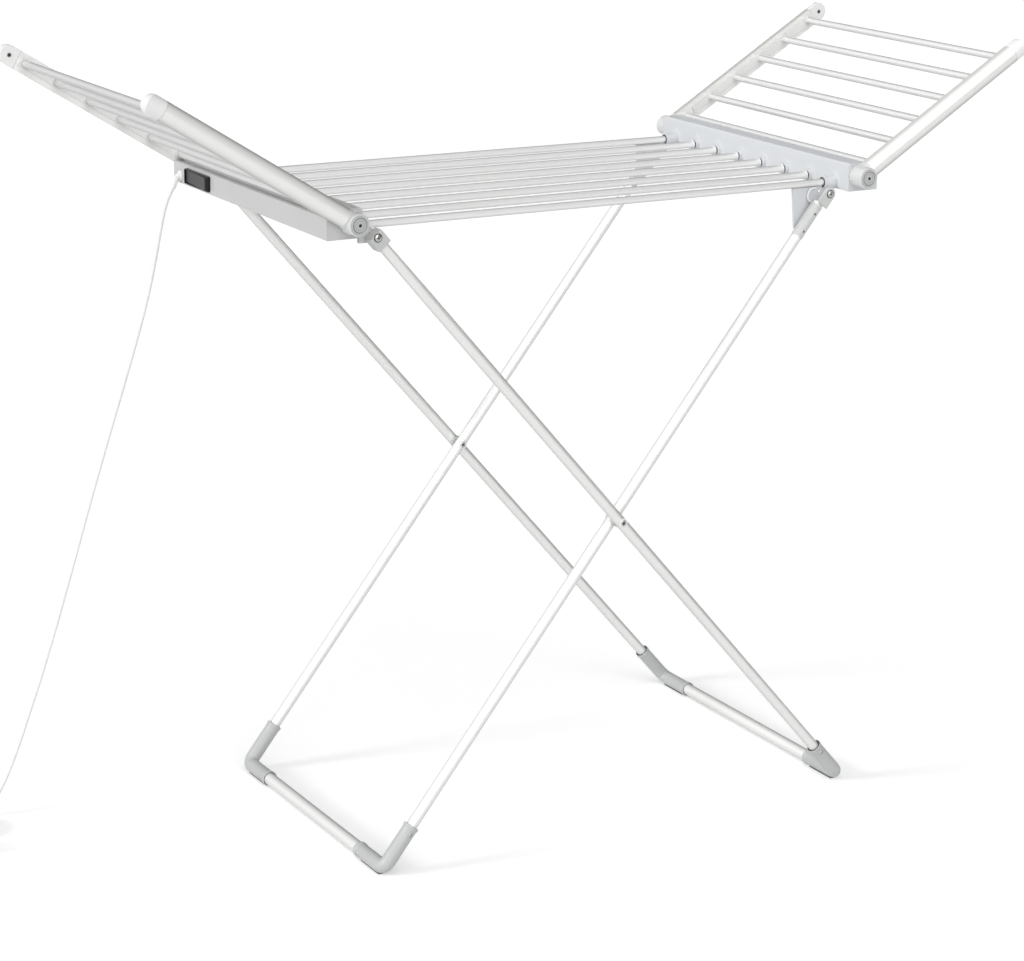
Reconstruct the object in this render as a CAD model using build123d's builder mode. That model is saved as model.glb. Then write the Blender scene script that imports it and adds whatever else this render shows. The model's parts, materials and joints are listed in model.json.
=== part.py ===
"""Heated clothes airer: two crossed leg frames under a top frame of heated rods,
with a raised folding wing at each end.

X runs along the airer from the control box (-X) to the plain end (+X), Y runs across it
with the near side at -Y, and Z is up. The origin is on the floor under the middle.
All sizes are in millimetres. Pieces are drawn on the near side or at the +X end, and
their opposite numbers are mirror images.
"""

import math
import os

from build123d import *

# Wings and their hinges
hinge_x = 409.0  # wing hinge axis, from the middle of the airer
hinge_z = 937.0  # wing hinge axis, above the floor
wing_raise = 31.4  # angle of a wing above level, in degrees
rail_face_y = 237.5  # flat inner face of a wing rail, from the middle
rail_depth = 19.0
rail_height = 27.0
rail_wall = 1.5
rail_start = 16.0  # from the hinge axis, along the wing
tip_reach = 323.0  # hinge axis to the centre of the rail's round tip
tip_cap_length = 13.5  # straight part of the tip cap
wing_rod_first = 30.0  # hinge axis to the first wing rod
wing_rod_tip_gap = 25.0  # last wing rod to the centre of the rail's round tip
wing_rod_count = 6
rod_insert = 5.5  # how far a wing rod reaches into its rail
knuckle_radius = 15.0
knuckle_face_y = 261.0
disc_radius = 12.2
disc_thickness = 2.5
disc_hole_radius = 2.2
strip_height = 12.0
strip_thickness = 1.2
strip_first = 45.0
strip_tip_gap = 18.0  # end of the strip to the centre of the rail's round tip
boss_radius = 6.8
boss_height = 3.0
tongue_length = 28.0
tip_plug_length = 4.5

# Rods
rod_radius = 5.2
rod_wall = 0.8
centre_rod_count = 8
centre_rod_pitch = 58.0
rod_drop = 12.0  # centre rods below the wing hinge axis
rod_end_inside = 8.0  # how far a centre rod reaches into its housing
bush_radius = 8.0
bush_length = 9.0

# Housings at the two ends of the centre rods, measured from the wing hinge axis
housing_inner = 17.0  # towards the middle
housing_outer = 35.0  # away from the middle
housing_below = 22.0
housing_above = 18.0
shelf_above = 7.0  # low outer part that the first wing rod passes over
crown_radius = 22.5  # rounded top that the first wing rod swings around
housing_end_y = 237.0
housing_wall = 2.0
corner_round = 1.5
cover_margin_x = 6.0
cover_margin_y = 9.0
post_radius = 3.5
post_offsets = [(24.0, -215.0), (24.0, -75.0), (24.0, 75.0), (2.0, 222.0)]
hinge_pin_radius = 4.0
pin_head_radius = 6.5
pin_head_thickness = 4.0

# Leg frames
leg_radius = 8.0
leg_wall = 1.2
outer_leg_y = 236.5
inner_leg_y = 217.0
pivot_inset = 35.0  # outer leg pivot, inwards of the wing hinge axis
pivot_drop = 22.0
hook_inset = 42.5  # inner leg catch, inwards of the wing hinge axis
hook_drop = 24.5
outer_foot_x = 433.0
inner_foot_x = -342.0
crossbar_z = 12.5
crossbar_radius = 9.5
crossbar_wall = 1.2
elbow_radius = 10.7
elbow_bend = 16.0
elbow_leg_length = 70.0
elbow_bar_length = 72.0
elbow_core = 18.0  # solid corner, from the crossing of the two tube axes
pad_width = 9.0
pad_length = 54.0
pad_height = 2.5
pad_setback = 8.0
elbow_screw_on_leg = 58.0
elbow_screw_on_bar = 60.0
block_size = 22.0
block_face_y = 246.0
block_offset = 5.6  # centre of the block, down the leg from the pivot
flare_end = 110.0
flare_thickness = 12.0
flare_width = 13.5
tongue_thickness = 3.0
tongue_width = 12.0
tongue_past_pivot = 3.0
neck_start = 17.0  # top end of the inner leg, from the catch pin
sleeve_start = 22.0
sleeve_end = 76.0
sleeve_radius = 8.7

# Lugs, catch brackets and pivots
lug_inner_y = 222.0
lug_radius = 9.0
gusset_thickness = 3.0
gusset_length = 48.5
gusset_depth = 58.5
long_boss_radius = 9.0
long_boss_length = 21.0
catch_pin_radius = 4.0
hook_plate_radius = 9.5
hook_plate_length = 20.0
hook_plate_thickness = 3.8
screw_radius = 2.5
screw_head_radius = 5.0
screw_head_height = 2.4
recess_width = 1.3
recess_length = 5.6
recess_depth = 1.2
rivet_radius = 3.0
rivet_head_radius = 6.6
rivet_head_height = 2.5
spacer_radius = 9.0
small_screw_radius = 1.5
small_head_radius = 3.0
small_head_height = 1.2

# Switch, on the outer face of the control housing
switch_y = 154.5
switch_drop = 7.5  # below the wing hinge axis
bezel_length = 79.0
bezel_height = 22.0
bezel_proud = 4.5
bezel_round = 3.0
rocker_length = 72.0
rocker_height = 17.5
rocker_thickness = 8.0
rocker_rest_tilt = 4.0  # degrees about the upright pin
rocker_pin_radius = 1.6
switch_frame = 1.2  # wall of the bezel's skirt and of the switch body
switch_depth = 14.0
rocker_gap = 0.5

# Electrics inside the control housing
terminal_size = (15.0, 40.0, 12.0)
terminal_y = 50.0
terminal_post_radius = 2.5
cable_run_x = 11.0  # beyond the hinge axis
cable_run_rise = 10.0  # above the centre rods
cable_radius = 1.5
cable_turn_reach = 7.0  # beyond the hinge axis
cable_bend = 12.0
cutout_size = (10.0, 18.0, 10.0)
cutout_y = 100.0

# Mains lead
cord_radius = 3.0
gland_y = 214.0
gland_drop = 11.0  # below the wing hinge axis
gland_base_radius = 7.5
gland_base_height = 3.0
gland_slope = 60.0  # the boot points down at this angle
boot_length = 20.0
boot_radius = 4.8
boot_tip_radius = 3.8
clamp_size = (9.0, 16.0, 14.0)
coil_centre = (-800.0, 200.0)
coil_radius = 33.0  # middle of the turns
coil_pitch = 6.8  # from one turn to the next, and from one layer to the next
coil_turns_in = 1.5
coil_turns_out = 1.75
coil_lead = 8.0  # straight stretch that enters the coil
coil_tail_length = 26.0  # straight stretch from the coil to the plug
plug_size = (46.0, 42.0)
plug_collar_length = 16.0
plug_collar_radius = 6.0
pin_lengths = (17.7, 22.7)

# Clearances
running_gap = 0.08  # a pin in a bore that turns on it
fixed_gap = 0.03  # a pin, rod or tube held in its hole
side_gap = 0.3  # faces that slide past each other
cover_gap = 0.1

# Places worked out from the sizes above
near = -1.0
rod_z = hinge_z - rod_drop
switch_z = hinge_z - switch_drop
gland_z = hinge_z - gland_drop
housing_bottom = hinge_z - housing_below
housing_inner_x = hinge_x - housing_inner
housing_outer_x = hinge_x + housing_outer
outer_leg_top = Vector(-(hinge_x - pivot_inset), near * outer_leg_y, hinge_z - pivot_drop)
outer_leg_foot = Vector(outer_foot_x, near * outer_leg_y, crossbar_z)
inner_leg_top = Vector(hinge_x - hook_inset, near * inner_leg_y, hinge_z - hook_drop)
inner_leg_foot = Vector(inner_foot_x, near * inner_leg_y, crossbar_z)
outer_down = (outer_leg_foot - outer_leg_top).normalized()
inner_down = (inner_leg_foot - inner_leg_top).normalized()
wing_direction = Vector(math.cos(math.radians(wing_raise)), 0, math.sin(math.radians(wing_raise)))
wing_rod_last = tip_reach - wing_rod_tip_gap
strip_last = tip_reach - strip_tip_gap
wing_rod_pitch = (wing_rod_last - wing_rod_first) / (wing_rod_count - 1)
wing_rod_places = [wing_rod_first + wing_rod_pitch * k for k in range(wing_rod_count)]
centre_rod_places = [centre_rod_pitch * ((centre_rod_count - 1) / 2 - k) for k in range(centre_rod_count)]


def crossing_point():
    """Where the two legs cross, seen from the side."""
    between = inner_leg_top - outer_leg_top
    turn = outer_down.X * inner_down.Z - outer_down.Z * inner_down.X
    along = (between.X * inner_down.Z - between.Z * inner_down.X) / turn
    return outer_leg_top + outer_down * along


crossing = crossing_point()


def at_y(point, y):
    """The point moved to another distance across the airer."""
    return Vector(point.X, y, point.Z)


def rod_between(start, end, radius, bore=0.0):
    """A round bar or tube from one point to another."""
    with BuildPart() as bar:
        with BuildSketch(Plane(origin=start, z_dir=end - start)):
            Circle(radius)
            if bore > 0:
                Circle(bore, mode=Mode.SUBTRACT)
        extrude(amount=(end - start).length)
    return bar.part


def across(point, y_start, y_end, radius, bore=0.0):
    """A round bar or tube square to the airer's side, on an axis through the point."""
    return rod_between(at_y(point, y_start), at_y(point, y_end), radius, bore)


def pair(piece):
    """A near piece together with its far mirror image."""
    with BuildPart() as both:
        add(piece)
        mirror(about=Plane.XZ)
    return both.part


def far_copy(piece):
    """The far mirror image of a near piece."""
    with BuildPart() as copy:
        mirror(piece, about=Plane.XZ)
    return copy.part


def other_end(piece):
    """The mirror image of a piece at the other end of the airer."""
    with BuildPart() as copy:
        mirror(piece, about=Plane.YZ)
    return copy.part


def screw_at(point, face_y, end_y):
    """A pan-head screw with a cross recess: its head stands on face_y, its shank ends at end_y."""
    outward = near * screw_head_height
    with BuildPart() as screw:
        add(across(point, end_y, face_y, screw_radius))
        add(across(point, face_y, face_y + outward, screw_head_radius))
        fillet(screw.faces().sort_by(Axis.Y)[0].edges(), screw_head_height / 3)
        with BuildSketch(Plane(origin=at_y(point, face_y + outward), z_dir=(0, near, 0))):
            with Locations((0, 0, 0)):
                Rectangle(recess_length, recess_width, rotation=45)
                Rectangle(recess_width, recess_length, rotation=45)
        extrude(amount=-recess_depth, mode=Mode.SUBTRACT)
    return screw.part


# Centre rods: heated tubes that run from one housing to the other
def centre_rod(y):
    """One centre rod at a distance across the airer."""
    reach = housing_inner_x + rod_end_inside
    return rod_between(Vector(-reach, y, rod_z), Vector(reach, y, rod_z), rod_radius, rod_radius - rod_wall)


centre_rods = [centre_rod(y) for y in centre_rod_places]


# Housings: hollow mouldings that hold the rods' ends and carry the wing hinges
def housing_outline(inset=0.0):
    """Cross-section of the +X housing in the XZ plane, with the wing hinge axis as its origin."""
    crown = crown_radius - inset
    top = housing_above - inset
    shelf = shelf_above - inset
    inner = housing_inner - inset
    outer = housing_outer - inset
    bottom = housing_below - inset
    crown_side = math.sqrt(crown**2 - top**2)
    shelf_side = math.sqrt(crown**2 - shelf**2)
    inner_side = math.sqrt(crown**2 - inner**2)
    shoulder_out = math.atan2(shelf + top, shelf_side + crown_side)
    shoulder_in = math.atan2(inner_side + top, inner + crown_side)
    outer_mid = (crown * math.cos(shoulder_out), crown * math.sin(shoulder_out))
    inner_mid = (-crown * math.cos(shoulder_in), crown * math.sin(shoulder_in))
    with BuildSketch() as outline:
        with BuildLine():
            Polyline((-inner, inner_side), (-inner, -bottom), (outer, -bottom), (outer, shelf), (shelf_side, shelf))
            ThreePointArc((shelf_side, shelf), outer_mid, (crown_side, top))
            Line((crown_side, top), (-crown_side, top))
            ThreePointArc((-crown_side, top), inner_mid, (-inner, inner_side))
        make_face()
    return outline.sketch


def post_places():
    """Screw posts of the +X housing, as places on its bottom."""
    return [(hinge_x + u, y) for u, y in post_offsets]


section_plane = Plane(origin=(hinge_x, 0, hinge_z), x_dir=(1, 0, 0), z_dir=(0, -1, 0))
cover_x = (housing_outer_x + housing_inner_x) / 2
cover_length_x = housing_inner + housing_outer - 2 * cover_margin_x
cover_length_y = 2 * (housing_end_y - cover_margin_y)

with BuildPart() as end_housing:
    with BuildSketch(section_plane):
        add(housing_outline())
    extrude(amount=housing_end_y, both=True)
    long_edges = end_housing.edges().filter_by(Axis.Y).sort_by(Axis.Z)
    fillet(long_edges[0:2], corner_round)
    with BuildSketch(section_plane):
        add(housing_outline(housing_wall))
    extrude(amount=housing_end_y - housing_wall, both=True, mode=Mode.SUBTRACT)
    with BuildSketch(Plane.XY.offset(hinge_z)):
        with Locations(*post_places()):
            Circle(post_radius)
    extrude(until=Until.NEXT)
    with BuildSketch(Plane.XY.offset(housing_bottom + housing_wall)):
        with Locations(*post_places()):
            Circle(post_radius)
    extrude(amount=housing_below - housing_wall)
    with BuildSketch(Plane.XY.offset(housing_bottom)):
        with Locations(*post_places()):
            Circle(small_screw_radius + fixed_gap)
    extrude(amount=housing_below / 2, mode=Mode.SUBTRACT)
    with BuildSketch(Plane.XY.offset(housing_bottom)):
        with Locations((cover_x, 0)):
            Rectangle(cover_length_x, cover_length_y)
    extrude(amount=housing_wall, mode=Mode.SUBTRACT)
    with BuildSketch(Plane.YZ.offset(housing_inner_x)):
        with Locations(*[(y, rod_z) for y in centre_rod_places]):
            Circle(rod_radius + fixed_gap)
    extrude(amount=housing_wall, mode=Mode.SUBTRACT)
    with BuildSketch(section_plane):
        Circle(hinge_pin_radius + fixed_gap)
    extrude(amount=housing_end_y, both=True, mode=Mode.SUBTRACT)

with BuildPart() as end_cover:
    with BuildSketch(Plane.XY.offset(housing_bottom)):
        with Locations((cover_x, 0)):
            Rectangle(cover_length_x - 2 * cover_gap, cover_length_y - 2 * cover_gap)
    extrude(amount=housing_wall)
    with BuildSketch(Plane.XY.offset(housing_bottom)):
        with Locations(*post_places()):
            Circle(small_head_radius + cover_gap)
    extrude(amount=small_head_height, mode=Mode.SUBTRACT)
    with BuildSketch(Plane.XY.offset(housing_bottom)):
        with Locations(*post_places()):
            Circle(small_screw_radius + fixed_gap)
    extrude(amount=housing_wall, mode=Mode.SUBTRACT)

# The control housing is the same moulding turned end for end, with lugs for the outer legs
outer_lug_x = -(hinge_x - pivot_inset)
lug_outer_y = outer_leg_y - leg_radius - side_gap / 2
lug_height = 2 * lug_radius
switch_hole_length = rocker_length + 2 * rocker_gap + 2 * switch_frame
switch_hole_height = rocker_height + 2 * rocker_gap + 2 * switch_frame
gland_x = -housing_outer_x
run_x = -(hinge_x + cable_run_x)
run_z = rod_z + cable_run_rise

with BuildPart() as control_housing:
    mirror(end_housing.part, about=Plane.YZ)
    with BuildSketch(Plane.XZ.offset(lug_inner_y)):
        with Locations((outer_lug_x, hinge_z - pivot_drop)):
            Circle(lug_radius)
        with Locations(((outer_lug_x - housing_inner_x) / 2, hinge_z - pivot_drop)):
            Rectangle(housing_inner_x + outer_lug_x, lug_height)
    extrude(amount=lug_outer_y - lug_inner_y)
    with BuildSketch(Plane.XZ.offset(-lug_outer_y)):
        with Locations((outer_lug_x, hinge_z - pivot_drop)):
            Circle(lug_radius)
        with Locations(((outer_lug_x - housing_inner_x) / 2, hinge_z - pivot_drop)):
            Rectangle(housing_inner_x + outer_lug_x, lug_height)
    extrude(amount=lug_outer_y - lug_inner_y)
    with BuildSketch(Plane(origin=(outer_lug_x, 0, hinge_z - pivot_drop), z_dir=(0, 1, 0))):
        Circle(screw_radius + fixed_gap)
    extrude(amount=lug_outer_y, both=True, mode=Mode.SUBTRACT)
    with BuildSketch(Plane.XY.offset(run_z + terminal_size[2] / 2)):
        with Locations((run_x, terminal_y - terminal_size[1] / 6), (run_x, terminal_y + terminal_size[1] / 6)):
            Circle(terminal_post_radius)
    extrude(until=Until.NEXT)
    with BuildSketch(Plane.YZ.offset(-housing_outer_x)):
        with Locations((switch_y, switch_z)):
            Rectangle(switch_hole_length + 2 * cover_gap, switch_hole_height + 2 * cover_gap)
        with Locations((gland_y, gland_z)):
            Circle(gland_base_radius - gland_base_height + fixed_gap)
    extrude(amount=housing_wall, mode=Mode.SUBTRACT)

control_cover = other_end(end_cover.part)

with BuildPart() as end_screws:
    with BuildSketch(Plane.XY.offset(housing_bottom)):
        with Locations(*post_places()):
            Circle(small_head_radius)
    extrude(amount=small_head_height)
    with BuildSketch(Plane.XY.offset(housing_bottom)):
        with Locations(*post_places()):
            Circle(small_screw_radius)
    extrude(amount=housing_below / 2 - corner_round)

with BuildPart() as housing_screws:
    add(end_screws.part)
    mirror(about=Plane.YZ)

# Bushes: short collars where the rods enter the housings
with BuildPart() as rod_bushes:
    for y in centre_rod_places:
        face = Vector(-housing_inner_x, y, rod_z)
        add(rod_between(face, face + Vector(bush_length, 0, 0), bush_radius, rod_radius + fixed_gap))
    for y in centre_rod_places[1:-1]:
        face = Vector(housing_inner_x, y, rod_z)
        add(rod_between(face, face - Vector(bush_length, 0, 0), bush_radius, rod_radius + fixed_gap))

# Catch brackets: a long boss on the outermost rod with a gusset that hangs beside the inner leg
outer_rod_y = near * centre_rod_places[0]
gusset_top = rod_z - rod_radius - side_gap
gusset_right = inner_leg_top.X + hook_plate_radius
gusset_left = inner_leg_top.X - gusset_length
gusset_bottom = gusset_top - gusset_depth
gusset_near_y = outer_rod_y - gusset_thickness / 2

with BuildPart() as bracket_near:
    with BuildSketch(Plane(origin=(0, gusset_near_y + gusset_thickness, 0), x_dir=(1, 0, 0), z_dir=(0, -1, 0))):
        Polygon(
            (gusset_left, gusset_top),
            (gusset_left + recess_length, gusset_bottom),
            (gusset_left + 2 * recess_length, gusset_bottom),
            (gusset_right, inner_leg_top.Z - hook_plate_radius / 2),
            (gusset_right, gusset_top),
            align=None,
        )
        with Locations((inner_leg_top.X, inner_leg_top.Z)):
            Circle(2 * catch_pin_radius)
        with Locations((housing_inner_x - long_boss_length / 2, gusset_top - long_boss_radius / 2)):
            Rectangle(long_boss_length, long_boss_radius)
    extrude(amount=gusset_thickness)
    boss_face = Vector(housing_inner_x, outer_rod_y, rod_z)
    add(rod_between(boss_face, boss_face - Vector(long_boss_length, 0, 0), long_boss_radius))
    add(
        rod_between(boss_face, boss_face - Vector(2 * gusset_length, 0, 0), rod_radius + fixed_gap),
        mode=Mode.SUBTRACT,
    )
    add(across(inner_leg_top, gusset_near_y - 1, outer_rod_y + 2, screw_radius + fixed_gap), mode=Mode.SUBTRACT)

leg_brackets = pair(bracket_near.part)

# Hook plates: the outer cheek of each catch, on a pin that the inner leg's end sits under
hook_plate_y = near * (inner_leg_y + sleeve_radius + side_gap)
hook_plane = Plane(origin=at_y(inner_leg_top, hook_plate_y), x_dir=inner_down, z_dir=(0, -1, 0))

with BuildPart() as hook_plate_near:
    with BuildSketch(hook_plane):
        Circle(hook_plate_radius)
        with Locations((hook_plate_length / 2, 0)):
            Rectangle(hook_plate_length, 2 * hook_plate_radius)
    extrude(amount=hook_plate_thickness)
    fillet(hook_plate_near.faces().sort_by(Axis.Y)[0].edges(), hook_plate_thickness / 4)
    add(
        across(inner_leg_top, hook_plate_y + 1, hook_plate_y - hook_plate_thickness - 1, screw_radius + fixed_gap),
        mode=Mode.SUBTRACT,
    )

hook_plates = pair(hook_plate_near.part)

with BuildPart() as catch_screw:
    add(screw_at(inner_leg_top, hook_plate_y - hook_plate_thickness, gusset_near_y + gusset_thickness))
    add(across(inner_leg_top, gusset_near_y, hook_plate_y, catch_pin_radius))

pivot_screw = screw_at(outer_leg_top, near * (block_face_y + side_gap), near * lug_inner_y)

with BuildPart() as pivot_screws:
    add(catch_screw.part)
    add(pivot_screw)
    mirror(about=Plane.XZ)

# Wing hinge pins, each with a head inside its housing
pin_tip_y = knuckle_face_y - 0.5
with BuildPart() as hinge_pin:
    head_y = near * (housing_end_y - housing_wall)
    hinge_point = Vector(hinge_x, 0, hinge_z)
    add(across(hinge_point, head_y, near * pin_tip_y, hinge_pin_radius))
    add(across(hinge_point, head_y - near * pin_head_thickness, head_y, pin_head_radius))

with BuildPart() as hinge_pins:
    add(pair(hinge_pin.part))
    mirror(about=Plane.YZ)


# Wings, drawn at the +X end at their raised angle
def wing_plane(along):
    """A plane square to the near rail at a distance from the hinge, with X pointing outwards."""
    place = Vector(hinge_x, near * rail_face_y, hinge_z) + wing_direction * along
    return Plane(origin=place, x_dir=(0, near, 0), z_dir=wing_direction)


def rail_profile(inset=0.0):
    """D-shaped rail section: flat towards the rods and round outside."""
    half = rail_height / 2
    flat = rail_depth - half
    with BuildSketch() as profile:
        with Locations(((flat + inset) / 2, 0)):
            Rectangle(flat - inset, rail_height - 2 * inset)
        with Locations((flat, 0)):
            Circle(half - inset)
        with Locations((inset - half, 0)):
            Rectangle(rail_height, 2 * rail_height, mode=Mode.SUBTRACT)
    return profile.sketch


def rail_piece(start, end, inset=0.0):
    """A solid length of the rail's section along the wing."""
    with BuildPart() as piece:
        with BuildSketch(wing_plane(start)):
            add(rail_profile(inset))
        extrude(amount=end - start)
    return piece.part


def wing_rod_holes(radius, y_start, y_end):
    """Round bars in the places of the wing rods, to cut their holes."""
    with BuildPart() as bars:
        for place in wing_rod_places:
            add(across(hinge_point + wing_direction * place, y_start, y_end, radius))
    return bars.part


rod_tip_y = near * (rail_face_y + rod_insert)
rail_end = tip_reach - tip_cap_length

with BuildPart() as rail_near:
    add(rail_piece(rail_start, rail_end))
    add(rail_piece(rail_start, rail_end, rail_wall), mode=Mode.SUBTRACT)
    add(wing_rod_holes(rod_radius + fixed_gap, near * (rail_face_y - 1), rod_tip_y), mode=Mode.SUBTRACT)

right_wing_rails = pair(rail_near.part)

with BuildPart() as right_wing_rods:
    for place in wing_rod_places:
        centre = hinge_point + wing_direction * place
        add(across(centre, rod_tip_y, -rod_tip_y, rod_radius, rod_radius - rod_wall))

strip_plane = Plane(
    origin=Vector(hinge_x, near * rail_face_y, hinge_z), x_dir=wing_direction, z_dir=(0, -near, 0)
)
with BuildPart() as strip_near:
    with BuildSketch(strip_plane):
        with Locations(((strip_first + strip_last) / 2, 0)):
            Rectangle(strip_last - strip_first, strip_height)
    extrude(amount=strip_thickness)
    with BuildSketch(strip_plane):
        with Locations(*[(place, 0) for place in wing_rod_places]):
            Circle(boss_radius)
    extrude(amount=boss_height)
    with BuildSketch(strip_plane):
        with Locations(*[(place, 0) for place in wing_rod_places]):
            Circle(rod_radius + fixed_gap)
    extrude(amount=boss_height, mode=Mode.SUBTRACT)

right_wing_strips = pair(strip_near.part)

knuckle_back_y = near * (housing_end_y + side_gap)
with BuildPart() as knuckle_near:
    add(across(hinge_point, knuckle_back_y, near * knuckle_face_y, knuckle_radius))
    fillet(knuckle_near.faces().sort_by(Axis.Y)[0].edges(), corner_round)
    add(rail_piece(0, rail_start))
    add(rail_piece(rail_start, rail_start + tongue_length, rail_wall + cover_gap))
    add(
        across(hinge_point, near * (housing_end_y - 1), near * (knuckle_face_y + 1), hinge_pin_radius + running_gap),
        mode=Mode.SUBTRACT,
    )
    add(
        across(
            hinge_point + wing_direction * wing_rod_first,
            near * (rail_face_y - 1),
            rod_tip_y + near * side_gap,
            rod_radius + cover_gap,
        ),
        mode=Mode.SUBTRACT,
    )

right_wing_knuckles = pair(knuckle_near.part)
right_wing_discs = pair(
    across(
        hinge_point,
        near * knuckle_face_y,
        near * (knuckle_face_y + disc_thickness),
        disc_radius,
        disc_hole_radius,
    )
)

tip_radius = rail_height / 2
with BuildPart() as tip_near:
    add(rail_piece(rail_end, tip_reach + tip_radius))
    with BuildSketch(strip_plane):
        with Locations(((rail_end + tip_reach) / 2, 0)):
            Rectangle(tip_reach - rail_end, rail_height)
        with Locations((tip_reach, 0)):
            Circle(tip_radius)
    extrude(amount=-rail_depth, mode=Mode.INTERSECT)
    add(rail_piece(rail_end - tip_plug_length, rail_end, rail_wall + cover_gap))

right_wing_tip_caps = pair(tip_near.part)

left_wing_rails = other_end(right_wing_rails)
left_wing_rods = other_end(right_wing_rods.part)
left_wing_strips = other_end(right_wing_strips)
left_wing_knuckles = other_end(right_wing_knuckles)
left_wing_discs = other_end(right_wing_discs)
left_wing_tip_caps = other_end(right_wing_tip_caps)


# Leg frames
def elbow_blank(foot, up):
    """The elbow's outside: a round sleeve that turns from the leg to the crossbar."""
    bar_end = foot + Vector(0, elbow_bar_length, 0)
    leg_end = foot + up * elbow_leg_length
    with BuildPart() as blank:
        with BuildLine() as path:
            FilletPolyline(leg_end, foot, bar_end, radius=elbow_bend)
        with BuildSketch(Plane(origin=leg_end, z_dir=-up)):
            Circle(elbow_radius)
        sweep(path=path.line)
    return blank.part


def elbow_screw_places(foot, up, side):
    """The two screws of an elbow, each as the point on its tube's axis and its direction."""
    on_leg = (foot + up * elbow_screw_on_leg, Vector(0, near, 0))
    on_bar = (foot + Vector(0, elbow_screw_on_bar, 0), Vector(side, 0, 0))
    return [on_leg, on_bar]


def elbow(foot, up, side):
    """The near elbow of a frame, bored for its leg and crossbar and drilled for its screws."""
    with BuildPart() as piece:
        add(elbow_blank(foot, up))
        leg_bore = rod_between(foot + up * elbow_core, foot + up * (elbow_leg_length + 1), leg_radius + fixed_gap)
        bar_start = foot + Vector(0, elbow_core, 0)
        bar_stop = foot + Vector(0, elbow_bar_length + 1, 0)
        add(leg_bore, mode=Mode.SUBTRACT)
        add(rod_between(bar_start, bar_stop, crossbar_radius + fixed_gap), mode=Mode.SUBTRACT)
        for point, way in elbow_screw_places(foot, up, side):
            outside = point + way * (2 * elbow_radius)
            add(rod_between(point, outside, small_screw_radius + fixed_gap), mode=Mode.SUBTRACT)
    return piece.part


def elbow_screws(foot, up, side):
    """The screws of both elbows of a frame."""
    with BuildPart() as screws:
        for point, way in elbow_screw_places(foot, up, side):
            seat = point + way * elbow_radius
            add(rod_between(point + way * (leg_radius / 2), seat, small_screw_radius))
            add(rod_between(seat, seat + way * small_head_height, small_head_radius))
        mirror(about=Plane.XZ)
    return screws.part


def foot_pads(foot, up):
    """Rubber pads saddled under both elbows of a frame, flat on the floor."""
    pad_y = foot.Y + pad_setback + pad_length / 2
    with BuildPart() as pads:
        with BuildSketch(Plane.XY):
            with Locations((foot.X, pad_y)):
                RectangleRounded(pad_width, pad_length, pad_width / 6)
        extrude(amount=pad_height)
        add(elbow_blank(foot, up), mode=Mode.SUBTRACT)
        mirror(about=Plane.XZ)
    return pads.part


def crossbar(foot):
    """The bottom tube of a frame, between its elbows."""
    start = foot + Vector(0, elbow_core, 0)
    return rod_between(start, at_y(start, -start.Y), crossbar_radius, crossbar_radius - crossbar_wall)


def leg_screw_holes(foot, up, side):
    """Bars that drill a frame's near leg and crossbar for the elbow screws."""
    with BuildPart() as bars:
        for point, way in elbow_screw_places(foot, up, side):
            add(rod_between(point, point + way * (2 * elbow_radius), small_screw_radius + fixed_gap))
    return bars.part


outer_up = -outer_down
inner_up = -inner_down
block_low_edge = block_offset + block_size / 2
outer_leg_end = outer_leg_foot + outer_up * elbow_core
outer_elbow_near = elbow(outer_leg_foot, outer_up, 1)
outer_screw_bars = leg_screw_holes(outer_leg_foot, outer_up, 1)


def outer_leg_plane(along):
    """A plane square to the near outer leg, with X across the airer."""
    return Plane(origin=outer_leg_top + outer_down * along, x_dir=(0, 1, 0), z_dir=outer_down)


with BuildPart() as outer_leg_near:
    add(rod_between(outer_leg_top + outer_down * flare_end, outer_leg_end, leg_radius, leg_radius - leg_wall))
    with BuildSketch(outer_leg_plane(flare_end)):
        Circle(leg_radius)
    with BuildSketch(outer_leg_plane(block_low_edge)):
        RectangleRounded(flare_thickness, flare_width, flare_thickness / 3)
    loft()
    flare_bore_start = outer_leg_top + outer_down * (block_low_edge + flare_thickness)
    flare_bore_end = outer_leg_top + outer_down * (flare_end + 1)
    add(rod_between(flare_bore_start, flare_bore_end, flare_thickness / 2 - leg_wall), mode=Mode.SUBTRACT)
    with BuildSketch(outer_leg_plane(-tongue_past_pivot)):
        Rectangle(tongue_thickness, tongue_width)
    extrude(amount=block_low_edge + tongue_past_pivot)
    add(across(outer_leg_top, near * block_face_y, near * lug_inner_y, screw_radius + running_gap), mode=Mode.SUBTRACT)
    add(
        across(crossing, near * (block_face_y + 1), near * lug_inner_y, rivet_radius + fixed_gap),
        mode=Mode.SUBTRACT,
    )
    add(outer_screw_bars, mode=Mode.SUBTRACT)

block_back_y = outer_leg_y - leg_radius + side_gap
with BuildPart() as block_near:
    with BuildSketch(
        Plane(
            origin=at_y(outer_leg_top + outer_down * block_offset, near * block_back_y),
            x_dir=outer_down,
            z_dir=(0, near, 0),
        )
    ):
        Rectangle(block_size, block_size)
    extrude(amount=block_face_y - block_back_y)
    fillet(block_near.edges().filter_by(Axis.Y), corner_round)
    fillet(block_near.faces().sort_by(Axis.Y)[0].edges(), corner_round / 2)
    with BuildSketch(outer_leg_plane(-tongue_past_pivot - cover_gap)):
        Rectangle(tongue_thickness + 2 * cover_gap, tongue_width + 2 * cover_gap)
    extrude(amount=block_low_edge + tongue_past_pivot + block_size, mode=Mode.SUBTRACT)
    add(
        across(outer_leg_top, near * (block_face_y + 1), near * lug_inner_y, screw_radius + running_gap),
        mode=Mode.SUBTRACT,
    )

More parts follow.
